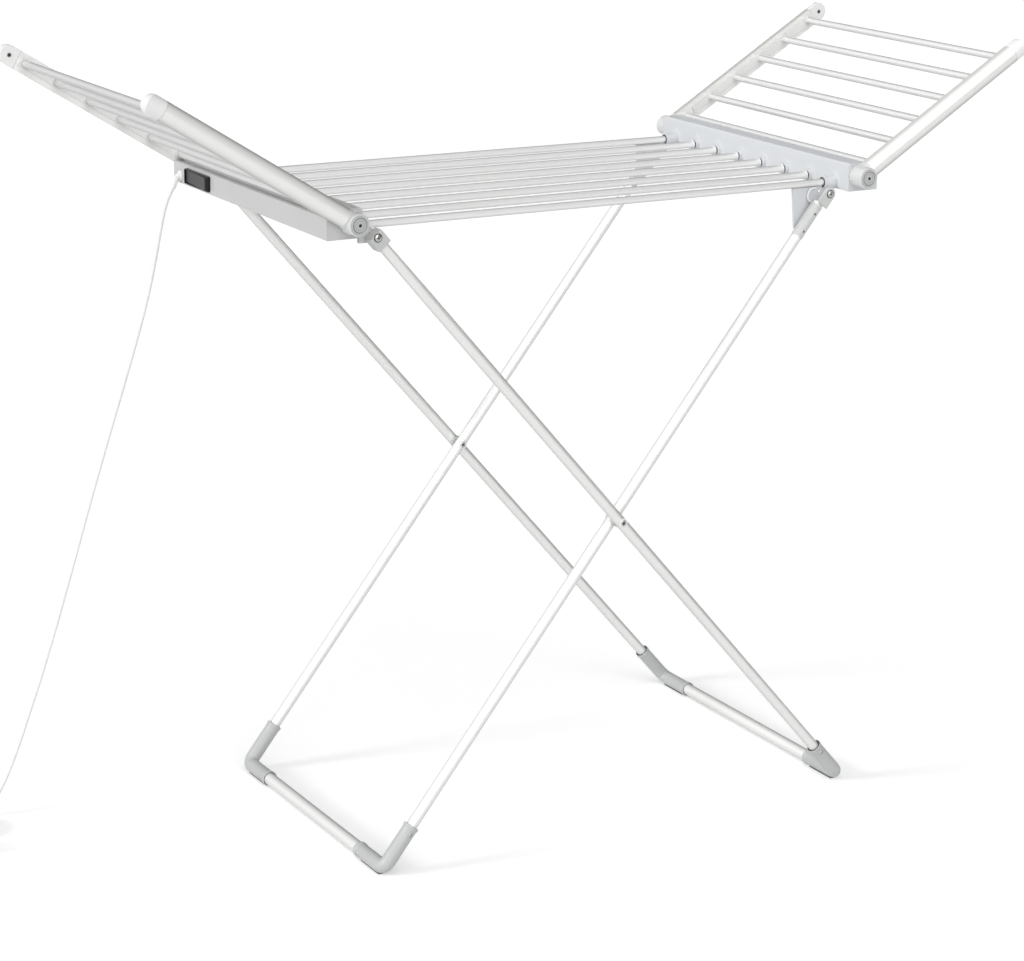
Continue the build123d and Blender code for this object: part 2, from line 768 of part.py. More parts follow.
outer_leg_blocks = pair(block_near.part)
outer_leg_far = far_copy(outer_leg_near.part)
outer_elbow_far = far_copy(outer_elbow_near)
outer_foot_pads = foot_pads(outer_leg_foot, outer_up)
outer_elbow_screws = elbow_screws(outer_leg_foot, outer_up, 1)

with BuildPart() as outer_crossbar:
    add(crossbar(outer_leg_foot))
    add(pair(outer_screw_bars), mode=Mode.SUBTRACT)

inner_leg_end = inner_leg_foot + inner_up * elbow_core
inner_neck = inner_leg_top + inner_down * neck_start
inner_elbow_near = elbow(inner_leg_foot, inner_up, -1)
inner_screw_bars = leg_screw_holes(inner_leg_foot, inner_up, -1)

with BuildPart() as inner_leg_near:
    add(rod_between(inner_neck, inner_leg_end, leg_radius))
    fillet(inner_leg_near.edges().sort_by(Axis.Z)[-1:], corner_round)
    add(
        rod_between(inner_neck + inner_down * (2 * leg_wall), inner_leg_end, leg_radius - leg_wall),
        mode=Mode.SUBTRACT,
    )
    add(
        across(crossing, near * (inner_leg_y + spacer_radius), near * (inner_leg_y - spacer_radius), rivet_radius + running_gap),
        mode=Mode.SUBTRACT,
    )
    add(inner_screw_bars, mode=Mode.SUBTRACT)

sleeve_near = rod_between(
    inner_leg_top + inner_down * sleeve_start,
    inner_leg_top + inner_down * sleeve_end,
    sleeve_radius,
    leg_radius + fixed_gap,
)
inner_leg_sleeves = pair(sleeve_near)
inner_leg_far = far_copy(inner_leg_near.part)
inner_elbow_far = far_copy(inner_elbow_near)
inner_foot_pads = foot_pads(inner_leg_foot, inner_up)
inner_elbow_screws = elbow_screws(inner_leg_foot, inner_up, -1)

with BuildPart() as inner_crossbar:
    add(crossbar(inner_leg_foot))
    add(pair(inner_screw_bars), mode=Mode.SUBTRACT)

# Crossing rivets, held in the outer legs, and the spacers between the two tubes
spacer_back_y = inner_leg_y + leg_radius + side_gap
rivet_inner_y = inner_leg_y - leg_radius - side_gap
rivet_outer_y = outer_leg_y + leg_radius + rivet_head_height
outer_leg_bar = rod_between(outer_leg_top + outer_down * flare_end, outer_leg_end, leg_radius)

with BuildPart() as rivet_near:
    add(across(crossing, near * (rivet_outer_y - 2 * rivet_head_height), near * rivet_outer_y, rivet_head_radius))
    fillet(rivet_near.faces().sort_by(Axis.Y)[0].edges(), rivet_head_height / 3)
    add(outer_leg_bar, mode=Mode.SUBTRACT)
    add(across(crossing, near * rivet_outer_y, near * rivet_inner_y, rivet_radius))
    add(across(crossing, near * rivet_inner_y, near * (rivet_inner_y - rivet_head_height), rivet_head_radius))

crossing_rivets = pair(rivet_near.part)

with BuildPart() as spacer_near:
    add(across(crossing, near * spacer_back_y, near * (spacer_back_y + leg_radius), spacer_radius))
    add(outer_leg_bar, mode=Mode.SUBTRACT)
    add(across(crossing, near * inner_leg_y, near * outer_leg_y, rivet_radius + fixed_gap), mode=Mode.SUBTRACT)

crossing_spacers = pair(spacer_near.part)

# Rocker switch: black bezel, rocker on an upright pin, and the switch body behind it
outer_face = Plane(origin=(-housing_outer_x, switch_y, switch_z), x_dir=(0, -1, 0), z_dir=(-1, 0, 0))
opening_length = rocker_length + 2 * rocker_gap
opening_height = rocker_height + 2 * rocker_gap
skirt_depth = 2 * housing_wall

with BuildPart() as switch_bezel:
    with BuildSketch(outer_face):
        RectangleRounded(bezel_length, bezel_height, bezel_round)
    extrude(amount=bezel_proud)
    fillet(switch_bezel.faces().sort_by(Axis.X)[0].edges(), corner_round)
    with BuildSketch(outer_face):
        Rectangle(switch_hole_length, switch_hole_height)
    extrude(amount=-skirt_depth)
    with BuildSketch(outer_face.offset(bezel_proud)):
        Rectangle(opening_length, opening_height)
    extrude(amount=-(bezel_proud + skirt_depth), mode=Mode.SUBTRACT)

body_face = outer_face.offset(-skirt_depth)
with BuildPart() as switch_body:
    with BuildSketch(body_face):
        Rectangle(switch_hole_length, switch_hole_height)
    extrude(amount=-switch_depth)
    with BuildSketch(body_face):
        Rectangle(opening_length, opening_height)
    extrude(amount=-(switch_depth - 2 * switch_frame), mode=Mode.SUBTRACT)

pin_depth = skirt_depth / 2
rocker_pin_point = Vector(-housing_outer_x + pin_depth, switch_y, switch_z)
rocker_plane = Plane(
    origin=rocker_pin_point - Vector(0, 0, rocker_height / 2),
    x_dir=(math.sin(math.radians(rocker_rest_tilt)), math.cos(math.radians(rocker_rest_tilt)), 0),
    z_dir=(0, 0, 1),
)
rocker_front = pin_depth + bezel_proud + running_gap

with BuildPart() as switch_rocker:
    with BuildSketch(rocker_plane):
        with BuildLine():
            Polyline(
                (-rocker_length / 2 + rocker_gap, rocker_front),
                (-rocker_length / 2 + rocker_gap, rocker_front - rocker_thickness),
                (rocker_length / 2 - rocker_gap, rocker_front - rocker_thickness),
                (rocker_length / 2 - rocker_gap, rocker_front),
            )
            ThreePointArc(
                (rocker_length / 2 - rocker_gap, rocker_front),
                (0, rocker_front - rocker_gap),
                (-rocker_length / 2 + rocker_gap, rocker_front),
            )
        make_face()
    extrude(amount=rocker_height)
    pin_half = rocker_height / 2 + rocker_gap + switch_frame / 2
    pin_bottom = rocker_pin_point - Vector(0, 0, pin_half)
    add(rod_between(pin_bottom, pin_bottom + Vector(0, 0, 2 * pin_half), rocker_pin_radius))

with BuildPart() as bezel_drilled:
    add(switch_bezel.part)
    add(
        rod_between(
            rocker_pin_point - Vector(0, 0, pin_half + rocker_gap / 2),
            rocker_pin_point + Vector(0, 0, pin_half + rocker_gap / 2),
            rocker_pin_radius + running_gap,
        ),
        mode=Mode.SUBTRACT,
    )

# Electrics: terminal block, thermal cut-out and the heating cable through the centre rods
with BuildPart() as terminal_block:
    with Locations((run_x, terminal_y, run_z)):
        Box(*terminal_size)
    fillet(terminal_block.edges().filter_by(Axis.Z), corner_round)
    with Locations((run_x, terminal_y, run_z + terminal_size[2] / 2)):
        with GridLocations(terminal_size[0] / 2, terminal_size[1] / 3, 2, 3):
            Hole(small_screw_radius, depth=terminal_size[2] / 3)

with BuildPart() as thermal_cutout:
    with Locations((run_x, cutout_y, run_z)):
        Box(*cutout_size)
    fillet(thermal_cutout.edges().filter_by(Axis.Z), corner_round)
    with BuildSketch(Plane(origin=(run_x, cutout_y, run_z), z_dir=(0, 1, 0))):
        Circle(cable_radius + fixed_gap)
    extrude(amount=cutout_size[1], both=True, mode=Mode.SUBTRACT)


def heating_cable_points():
    """The cable's route: out of the terminal block, through every rod in turn and back."""
    turn_x = hinge_x + cable_turn_reach
    first_y = centre_rod_places[0]
    entry_x = -(hinge_x + 2 * fixed_gap)
    entry_y = first_y - rod_radius - cable_radius
    points = [
        (run_x, terminal_y + terminal_size[1] / 2, run_z),
        (run_x, entry_y, run_z),
        (entry_x, first_y, rod_z),
    ]
    side = 1.0
    for upper, lower in zip(centre_rod_places[:-1], centre_rod_places[1:]):
        points += [(side * turn_x, upper, rod_z), (side * turn_x, lower, rod_z)]
        side = -side
    points += [
        (entry_x, -first_y, rod_z),
        (run_x, -entry_y, run_z),
        (run_x, terminal_y - terminal_size[1] / 2, run_z),
    ]
    return [Vector(*point) for point in points]


cable_points = heating_cable_points()
cable_small_bend = 2 * cable_radius
cable_bends = [cable_small_bend] * 2 + [cable_bend] * (len(cable_points) - 6) + [cable_small_bend] * 2

with BuildPart() as heating_cable:
    with BuildLine() as cable_path:
        FilletPolyline(*cable_points, radius=cable_bends)
    with BuildSketch(Plane(origin=cable_points[0], z_dir=cable_points[1] - cable_points[0])):
        Circle(cable_radius)
    sweep(path=cable_path.line)

# Cord gland: a flanged boot that points down, and the clamp that holds the lead inside
slope = math.radians(gland_slope)
boot_direction = Vector(-math.cos(slope), 0, -math.sin(slope))
gland_centre = Vector(gland_x - gland_base_height, gland_y, gland_z)
boot_end = gland_centre + boot_direction * boot_length
inner_face_x = gland_x + housing_wall

with BuildPart() as cord_gland:
    with BuildSketch(Plane(origin=(gland_x, gland_y, gland_z), z_dir=(-1, 0, 0))):
        Circle(gland_base_radius)
    extrude(amount=gland_base_height)
    with BuildSketch(Plane(origin=gland_centre, z_dir=boot_direction)):
        Circle(boot_radius)
    with BuildSketch(Plane(origin=boot_end, z_dir=boot_direction)):
        Circle(boot_tip_radius)
    loft()
    with BuildSketch(Plane.YZ.offset(gland_x)):
        with Locations((gland_y, gland_z)):
            Rectangle(8 * gland_base_radius, 8 * gland_base_radius)
    extrude(amount=boot_length, mode=Mode.SUBTRACT)
    shank_radius = gland_base_radius - gland_base_height
    add(rod_between(Vector(gland_x, gland_y, gland_z), Vector(inner_face_x, gland_y, gland_z), shank_radius))

with BuildPart() as cord_clamp:
    with Locations((inner_face_x + clamp_size[0] / 2, gland_y, gland_z)):
        Box(*clamp_size)
    fillet(cord_clamp.edges().filter_by(Axis.X), corner_round)
    with Locations((inner_face_x + clamp_size[0] / 2, gland_y, gland_z)):
        Cylinder(cord_radius, clamp_size[0], rotation=(0, 90, 0), mode=Mode.SUBTRACT)

# Mains lead: hangs from the gland, reaches the floor and ends in a coil with its plug
coil_start_radius = coil_radius + coil_pitch * coil_turns_in / 2
coil_inner_radius = coil_start_radius - coil_pitch * coil_turns_in
lead_end = Vector(coil_centre[0] + coil_lead, coil_centre[1] + coil_start_radius, cord_radius)
lead_points = [
    boot_end,
    boot_end + boot_direction * 20.0,
    Vector(-475.0, 214.5, 859.0),
    Vector(-484.0, 215.0, 812.0),
    Vector(-498.0, 216.5, 750.0),
    Vector(-519.5, 219.0, 677.0),
    Vector(-543.0, 222.5, 602.0),
    Vector(-566.0, 226.0, 528.0),
    Vector(-589.5, 228.5, 452.0),
    Vector(-612.5, 231.0, 374.0),
    Vector(-636.0, 233.0, 297.0),
    Vector(-660.0, 235.0, 222.0),
    Vector(-685.0, 236.5, 152.0),
    Vector(-708.0, 237.5, 90.0),
    Vector(-729.0, 238.0, 44.0),
    Vector(-750.0, 238.0, 14.0),
    lead_end + Vector(21.0, 0, 0),
    lead_end,
]


def bend_radii(points):
    """The largest tangent arc at each corner: 0.45 of the shorter run over the half turn's tangent."""
    radii = []
    for before, corner, after in zip(points[:-2], points[1:-1], points[2:]):
        half_turn = math.radians((corner - before).get_angle(after - corner)) / 2
        shorter = min((corner - before).length, (after - corner).length)
        radii.append(0.45 * shorter / math.tan(half_turn))
    return radii


lead_radii = bend_radii(lead_points)

with BuildPart() as cord_lead:
    with BuildLine() as lead_path:
        FilletPolyline(*lead_points, radius=lead_radii)
    with BuildSketch(Plane(origin=lead_points[0], z_dir=boot_direction)):
        Circle(cord_radius)
    sweep(path=lead_path.line)


def coil_place(turn):
    """A point on the coil's centre line: in on the lower layer, up a layer, and out again."""
    since_reversal = turn - coil_turns_in
    ease = 0.25  # turns each side of the reversal
    if abs(since_reversal) < ease:
        spread = (since_reversal**2 / ease + ease) / 2
        climb = (since_reversal + ease) / (2 * ease)
        lift = climb * climb * (3 - 2 * climb)
    else:
        spread = abs(since_reversal)
        lift = 1.0 if since_reversal > 0 else 0.0
    radius = coil_inner_radius + coil_pitch * spread
    angle = math.radians(90 + 360 * turn)
    height = cord_radius + coil_pitch * lift
    return Vector(
        coil_centre[0] + radius * math.cos(angle), coil_centre[1] + radius * math.sin(angle), height
    )


def coil_direction(turn):
    """The centre line's direction at a turn."""
    step = 1e-4
    return (coil_place(turn + step) - coil_place(turn - step)).normalized()


def biarc_joint(start, start_way, end, end_way):
    """The point where two equal-handled arcs meet that join the two ends smoothly."""
    chord = end - start
    both = start_way + end_way
    spread = 2 * (1 - start_way.dot(end_way))
    reach = chord.dot(both)
    handle = (-reach + math.sqrt(reach**2 + spread * chord.dot(chord))) / spread
    return (start + start_way * handle + end - end_way * handle) / 2


coil_turns = coil_turns_in + coil_turns_out
quarter_turns = [0.25 * k for k in range(int(round(4 * coil_turns)) + 1)]
coil_entry_way = Vector(-1, 0, 0)
coil_exit_way = Vector(0, -1, 0)
coil_exit = coil_place(coil_turns)
coil_tail = coil_exit + coil_exit_way * coil_tail_length

with BuildPart() as cord_coil:
    with BuildLine() as coil_path:
        entry = coil_place(0)
        Line(entry - coil_entry_way * coil_lead, entry)
        for turn, next_turn in zip(quarter_turns[:-1], quarter_turns[1:]):
            start = coil_place(turn)
            end = coil_place(next_turn)
            start_way = coil_entry_way if turn == 0 else coil_direction(turn)
            end_way = coil_exit_way if next_turn == quarter_turns[-1] else coil_direction(next_turn)
            middle = biarc_joint(start, start_way, end, end_way)
            first = TangentArc(start, middle, tangent=start_way)
            TangentArc(middle, end, tangent=first % 1)
        Line(coil_exit, coil_tail)
    with BuildSketch(Plane(origin=entry - coil_entry_way * coil_lead, z_dir=coil_entry_way)):
        Circle(cord_radius)
    sweep(path=coil_path.line)

# Plug: it lies on its back beside the coil with its three pins up
plug_axis_z = coil_tail.Z
plug_height = 2 * plug_axis_z
plug_collar_end = coil_tail + coil_exit_way * plug_collar_length
plug_middle_y = plug_collar_end.Y - plug_size[1] / 2

with BuildPart() as plug_body:
    with BuildSketch(Plane.XY):
        with Locations((coil_tail.X, plug_middle_y)):
            RectangleRounded(*plug_size, plug_size[0] / 6)
    extrude(amount=plug_height)
    fillet(plug_body.faces().sort_by(Axis.Z)[0].edges(), corner_round)
    fillet(plug_body.faces().sort_by(Axis.Z)[-1].edges(), corner_round)
    with BuildSketch(Plane(origin=coil_tail, z_dir=coil_exit_way)):
        Circle(plug_collar_radius - corner_round)
    with BuildSketch(Plane(origin=plug_collar_end, z_dir=coil_exit_way)):
        Circle(plug_collar_radius)
    loft()

with BuildPart() as plug_pins:
    with BuildSketch(Plane.XY.offset(plug_height)):
        with Locations((coil_tail.X - 11.0, plug_middle_y + 7.0), (coil_tail.X + 11.0, plug_middle_y + 7.0)):
            Rectangle(6.4, 4.0)
    extrude(amount=pin_lengths[0])
    with BuildSketch(Plane.XY.offset(plug_height)):
        with Locations((coil_tail.X, plug_middle_y - 15.0)):
            Rectangle(4.0, 8.0)
    extrude(amount=pin_lengths[1])


def least_coil_gap():
    """Least distance between the coil's own turns, on points along it, less one diameter."""
    places = []
    travelled = []
    distance = 0.0
    for edge in coil_path.line.edges():
        steps = max(2, int(edge.length / 1.5))
        places += [edge @ (k / steps) for k in range(steps)]
        travelled += [distance + edge.length * k / steps for k in range(steps)]
        distance += edge.length
    least = math.inf
    for i, place in enumerate(places):
        for j in range(i + 1, len(places)):
            if travelled[j] - travelled[i] > math.pi * coil_inner_radius:
                least = min(least, (places[j] - place).length)
    return least - 2 * cord_radius


pieces = {
    "control_housing": control_housing.part,
    "control_cover": control_cover,
    "end_housing": end_housing.part,
    "end_cover": end_cover.part,
    "housing_screws": housing_screws.part,
    "rod_bushes": rod_bushes.part,
    "leg_brackets": leg_brackets,
    "hook_plates": hook_plates,
    "pivot_screws": pivot_screws.part,
    "hinge_pins": hinge_pins.part,
    "switch_bezel": bezel_drilled.part,
    "switch_body": switch_body.part,
    "switch_rocker": switch_rocker.part,
    "terminal_block": terminal_block.part,
    "thermal_cutout": thermal_cutout.part,
    "heating_cable": heating_cable.part,
    "cord_gland": cord_gland.part,
    "cord_clamp": cord_clamp.part,
    "cord_lead": cord_lead.part,
    "cord_coil": cord_coil.part,
    "plug_body": plug_body.part,
    "plug_pins": plug_pins.part,
    "left_wing_rails": left_wing_rails,
    "left_wing_rods": left_wing_rods,
    "left_wing_strips": left_wing_strips,
    "left_wing_knuckles": left_wing_knuckles,
    "left_wing_discs": left_wing_discs,
    "left_wing_tip_caps": left_wing_tip_caps,
    "right_wing_rails": right_wing_rails,
    "right_wing_rods": right_wing_rods.part,
    "right_wing_strips": right_wing_strips,
    "right_wing_knuckles": right_wing_knuckles,
    "right_wing_discs": right_wing_discs,
    "right_wing_tip_caps": right_wing_tip_caps,
    "outer_leg_near": outer_leg_near.part,
    "outer_leg_far": outer_leg_far,
    "outer_leg_blocks": outer_leg_blocks,
    "outer_crossbar": outer_crossbar.part,
    "outer_elbow_near": outer_elbow_near,
    "outer_elbow_far": outer_elbow_far,
    "outer_elbow_screws": outer_elbow_screws,
    "outer_foot_pads": outer_foot_pads,
    "crossing_rivets": crossing_rivets,
    "crossing_spacers": crossing_spacers,
    "inner_leg_near": inner_leg_near.part,
    "inner_leg_far": inner_leg_far,
    "inner_leg_sleeves": inner_leg_sleeves,
    "inner_crossbar": inner_crossbar.part,
    "inner_elbow_near": inner_elbow_near,
    "inner_elbow_far": inner_elbow_far,
    "inner_elbow_screws": inner_elbow_screws,
    "inner_foot_pads": inner_foot_pads,
}
for number, rod in enumerate(centre_rods, start=1):
    pieces[f"centre_rod_{number}"] = rod

os.makedirs("parts", exist_ok=True)
for name, piece in pieces.items():
    piece.label = name
    export_step(piece, f"parts/{name}.step")

coil_length = sum(edge.length for edge in coil_path.line.edges())
lead_length = sum(edge.length for edge in lead_path.line.edges())
print("nodes", len(pieces))
print("crossing", crossing)
print("lead radii", [round(radius, 1) for radius in lead_radii])
print("lead length", round(lead_length, 1), "coil length", round(coil_length, 1))
print("least gap between the coil's turns", round(least_coil_gap(), 2))
print("lead volume ratio", round(cord_lead.part.volume / (math.pi * cord_radius**2 * lead_length), 4))
print("coil volume ratio", round(cord_coil.part.volume / (math.pi * cord_radius**2 * coil_length), 4))
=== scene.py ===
# %% [markdown]
# # A heated clothes airer
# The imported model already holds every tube, housing and hinge at its real size and place. This
# lesson dresses it: a camera at the photograph's angle, the mains lead as a real hanging cord,
# soft studio light, finishes worked out from maths, and finer surfaces where a moulding or a
# pressing deserves them. Every length is in metres, and +X runs along the airer, away from its
# switch.

# %% Load the frame
import json
import math

import bmesh
import bpy
import numpy as np
from mathutils import Matrix, Vector


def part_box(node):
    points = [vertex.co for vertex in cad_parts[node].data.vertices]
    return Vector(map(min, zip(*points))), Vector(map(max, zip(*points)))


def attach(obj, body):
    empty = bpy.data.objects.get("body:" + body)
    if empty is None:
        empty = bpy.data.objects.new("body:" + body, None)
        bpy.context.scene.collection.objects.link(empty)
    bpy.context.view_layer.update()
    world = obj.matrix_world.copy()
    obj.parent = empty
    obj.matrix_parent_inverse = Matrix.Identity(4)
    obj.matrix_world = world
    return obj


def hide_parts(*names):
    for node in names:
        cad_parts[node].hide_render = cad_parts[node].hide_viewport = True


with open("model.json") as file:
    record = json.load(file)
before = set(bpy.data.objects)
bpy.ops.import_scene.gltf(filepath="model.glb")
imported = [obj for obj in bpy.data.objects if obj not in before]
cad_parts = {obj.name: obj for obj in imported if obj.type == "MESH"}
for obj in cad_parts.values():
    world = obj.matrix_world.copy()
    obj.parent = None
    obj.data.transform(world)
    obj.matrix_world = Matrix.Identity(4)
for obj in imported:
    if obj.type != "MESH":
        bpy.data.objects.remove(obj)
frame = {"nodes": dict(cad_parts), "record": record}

scene = bpy.context.scene
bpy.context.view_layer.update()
nodes = frame["nodes"]
bodies = frame["record"]["behaviour"]["bodies"]
body_of_node = {node: body for body, members in bodies.items() for node in members}

# %% [markdown]
# ## The camera
# The photograph was taken from the switch end, a little above the top, with a long lens. A
# camera is only a turned and placed object: its own X points right in the picture, its Y up and
# its Z back towards the photographer. Working those three directions out from an azimuth, an
# elevation and a slight roll is clearer than guessing Euler angles.

# %% Place the camera
AZIMUTH = math.radians(-31.18)
ELEVATION = math.radians(16.48)
ROLL = math.radians(1.25)
DISTANCE = 4.0297
LOOK_AT = Vector((-0.0155, 0.0, 0.4759))
FOCAL_LENGTH = 96.14

away = math.cos(ELEVATION)
back = Vector((math.sin(AZIMUTH) * away, -math.cos(AZIMUTH) * away, math.sin(ELEVATION)))
level_right = (-back).cross(Vector((0, 0, 1))).normalized()
level_up = level_right.cross(-back)
camera_x = math.cos(ROLL) * level_right + math.sin(ROLL) * level_up
camera_y = -math.sin(ROLL) * level_right + math.cos(ROLL) * level_up
spot = LOOK_AT + back * DISTANCE

camera_data = bpy.data.cameras.new("camera")
camera_data.lens = FOCAL_LENGTH
camera_data.sensor_width = 36.0
camera = bpy.data.objects.new("camera", camera_data)
scene.collection.objects.link(camera)
camera.matrix_world = Matrix(
    [(camera_x[i], camera_y[i], back[i], spot[i]) for i in range(3)] + [(0, 0, 0, 1)]
)
scene.camera = camera
print("camera at", [round(v, 3) for v in spot])

# %% [markdown]
# ## The mains lead
# A mains lead is a fixed length of something springy. It leaves the boot pointing down, falls
# in a long soft bow to the floor, and its spare length lies wound in a neat coil with the plug
# beside it. A smooth spline through a few listed points bends the way a real lead does,
# while many short straight runs would look like bent wire.

# %% The lead's route
LEAD_RADIUS = 0.003
GLAND = Vector((-0.447, 0.214, 0.926))
BOOT_SLOPE = math.radians(60)
BOOT_LENGTH = 0.020
BOOT_WAY = Vector((-math.cos(BOOT_SLOPE), 0, -math.sin(BOOT_SLOPE)))
LEAD_EXIT = GLAND + BOOT_WAY * BOOT_LENGTH
COIL_CENTRE = (-0.8, 0.2)
COIL_RADIUS = 0.033
COIL_PITCH = 0.0068
TURNS_IN = 1.5
TURNS_OUT = 1.75
COIL_TAIL = 0.026
COIL_INNER = COIL_RADIUS - COIL_PITCH * TURNS_IN / 2
COIL_START = COIL_RADIUS + COIL_PITCH * TURNS_IN / 2
COIL_ENTRY = Vector((COIL_CENTRE[0], COIL_CENTRE[1] + COIL_START, LEAD_RADIUS))

hanging = [
    LEAD_EXIT,
    LEAD_EXIT + BOOT_WAY * 0.02,
    (-0.475, 0.2145, 0.859),
    (-0.484, 0.215, 0.812),
    (-0.498, 0.2165, 0.750),
    (-0.5195, 0.219, 0.677),
    (-0.543, 0.2225, 0.602),
    (-0.566, 0.226, 0.528),
    (-0.5895, 0.2285, 0.452),
    (-0.6125, 0.231, 0.374),
    (-0.636, 0.233, 0.297),
    (-0.660, 0.235, 0.222),
    (-0.685, 0.2365, 0.152),
    (-0.708, 0.2375, 0.090),
    (-0.729, 0.238, 0.044),
    (-0.750, 0.238, 0.014),
    COIL_ENTRY + Vector((0.029, 0, 0)),
    COIL_ENTRY + Vector((0.008, 0, 0)),
]
print("points down to the floor:", len(hanging))


# %% The coil's turns
def coil_points(per_turn):
    """Spline points of the coil: radius falls by a pitch each turn on the lower layer, a smooth
    step of a half turn climbs one pitch to the upper layer, and the radius grows again."""
    turns = TURNS_IN + TURNS_OUT
    turn = np.linspace(0, turns, int(round(turns * per_turn)) + 1)
    since = turn - TURNS_IN
    ease = 0.25
    spread = np.where(np.abs(since) < ease, (since**2 / ease + ease) / 2, np.abs(since))
    climb = np.clip((since + ease) / (2 * ease), 0, 1)
    lift = climb * climb * (3 - 2 * climb)
    # The spline runs inside its points, so the points stand out by the same share.
    radius = (COIL_INNER + COIL_PITCH * spread) / math.cos(math.pi / per_turn)
    angle = math.pi / 2 + 2 * math.pi * turn
    x = COIL_CENTRE[0] + radius * np.cos(angle)
    y = COIL_CENTRE[1] + radius * np.sin(angle)
    return np.stack([x, y, LEAD_RADIUS + COIL_PITCH * lift], axis=1)


coil = coil_points(16)
coil_edge = COIL_CENTRE[0] - COIL_INNER - COIL_PITCH * TURNS_OUT
tail_start = Vector((coil_edge, COIL_CENTRE[1], LEAD_RADIUS + COIL_PITCH))
tail_end = tail_start + Vector((0, -COIL_TAIL, 0))
route = [tuple(p) for p in hanging] + [tuple(p) for p in coil[1:-1]]
route += [tuple(tail_start + Vector((0, 0.003, 0))), tuple(tail_end)]
print("points in the whole route:", len(route))

# %% Make the lead
lead_curve = bpy.data.curves.new("mains_lead", "CURVE")
lead_curve.dimensions = "3D"
lead_curve.bevel_depth = 1.0
lead_curve.bevel_resolution = 5
lead_curve.resolution_u = 8
lead_curve.use_fill_caps = True
spline = lead_curve.splines.new("NURBS")
spline.points.add(len(route) - 1)
spline.points.foreach_set("co", [c for p in route for c in (*p, 1.0)])
spline.points.foreach_set("radius", [LEAD_RADIUS] * len(route))
spline.order_u = 3
spline.use_endpoint_u = True
lead = bpy.data.objects.new("mains_lead", lead_curve)
scene.collection.objects.link(lead)
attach(lead, "top_frame")
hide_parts("cord_lead", "cord_coil")
print("lead route length:", round(spline.calc_length(), 3))

# %% [markdown]
# ## Shader maths
# A finish is mostly arithmetic on numbers that vary over a surface, and so is a backdrop that is
# brighter on one side. Wrapping a socket in a small class lets that arithmetic be written as
# Python, and each operator adds one Math node.


# %% A socket that can be added and multiplied
def feed(tree, target, value):
    """Link a field to a node's input, or set a plain value on it."""
    if isinstance(value, Field):
        tree.links.new(value.socket, target)
    else:
        target.default_value = value


class Field:
    """One value that varies over a surface or the backdrop, in one node tree."""

    def __init__(self, tree, socket):
        self.tree = tree
        self.socket = socket

    def node(self, kind, settings=None, **inputs):
        """Add a node: settings first, then each input as a value or a link. An input is named
        with _ for spaces, or numbered as i0, i1 and so on. Returns the node."""
        made = self.tree.nodes.new(kind)
        for key, value in (settings or {}).items():
            setattr(made, key, value)
        for key, value in inputs.items():
            numbered = key[0] == "i" and key[1:].isdigit()
            target = made.inputs[int(key[1:]) if numbered else key.replace("_", " ")]
            feed(self.tree, target, value)
        return made

    def maths(self, operation, first, second):
        made = self.node("ShaderNodeMath", {"operation": operation}, i0=first, i1=second)
        return Field(self.tree, made.outputs[0])

    def __add__(self, other):
        return self.maths("ADD", self, other)

    def __sub__(self, other):
        return self.maths("SUBTRACT", self, other)

    def __rsub__(self, other):
        return self.maths("SUBTRACT", other, self)

    def __mul__(self, other):
        return self.maths("MULTIPLY", self, other)

    # Sums and products don't depend on the order, so their reflected forms are the same.
    __radd__ = __add__
    __rmul__ = __mul__

    def most(self, other):
        """The larger of the two."""
        return self.maths("MAXIMUM", self, other)

    def step(self, low, high):
        """0 below low, 1 above high and a smooth slope between."""
        smooth = {"interpolation_type": "SMOOTHSTEP"}
        made = self.node("ShaderNodeMapRange", smooth, Value=self, From_Min=low, From_Max=high)
        return Field(self.tree, made.outputs[0])


print("operators ready: +, - and *, with their reflected forms")

# %% [markdown]
# ## Studio
# The airer was photographed on white with soft light from its switch end. The floor is a large
# pale plane. It gives off a little light of its own, as a lit studio floor seems to, so that it
# melts into the white backdrop and still keeps the faint shadows beside the feet. Three wide
# sun lamps stand for the soft boxes, because a sun lights a large floor evenly.

# %% Floor and backdrop
scene.view_settings.view_transform = "Standard"


def new_material(name):
    """An empty node material with its tree and output."""
    material = bpy.data.materials.new(name)
    material.use_nodes = True
    material.node_tree.nodes.clear()
    output = material.node_tree.nodes.new("ShaderNodeOutputMaterial")
    return material, material.node_tree, output


FLOOR_HALF = 20.0
floor_mesh = bpy.data.meshes.new("floor")
corners = [(FLOOR_HALF * i, FLOOR_HALF * j, 0) for i, j in ((-1, -1), (1, -1), (1, 1), (-1, 1))]
floor_mesh.from_pydata(corners, [], [(0, 1, 2, 3)])
floor = bpy.data.objects.new("floor", floor_mesh)
scene.collection.objects.link(floor)

FLOOR_GLOW = 0.11
FLOOR_GLOW_SEEN = 0.24
floor_material, tree, output = new_material("studio_floor")
paint = tree.nodes.new("ShaderNodeBsdfDiffuse")
paint.inputs["Color"].default_value = (0.80, 0.80, 0.80, 1)
eye = Field(tree, tree.nodes.new("ShaderNodeLightPath").outputs["Is Camera Ray"])
glow = eye.node("ShaderNodeEmission", Strength=FLOOR_GLOW + FLOOR_GLOW_SEEN * eye)
together = tree.nodes.new("ShaderNodeAddShader")
tree.links.new(paint.outputs[0], together.inputs[0])
tree.links.new(glow.outputs[0], together.inputs[1])
tree.links.new(together.outputs[0], output.inputs["Surface"])
floor_mesh.materials.append(floor_material)

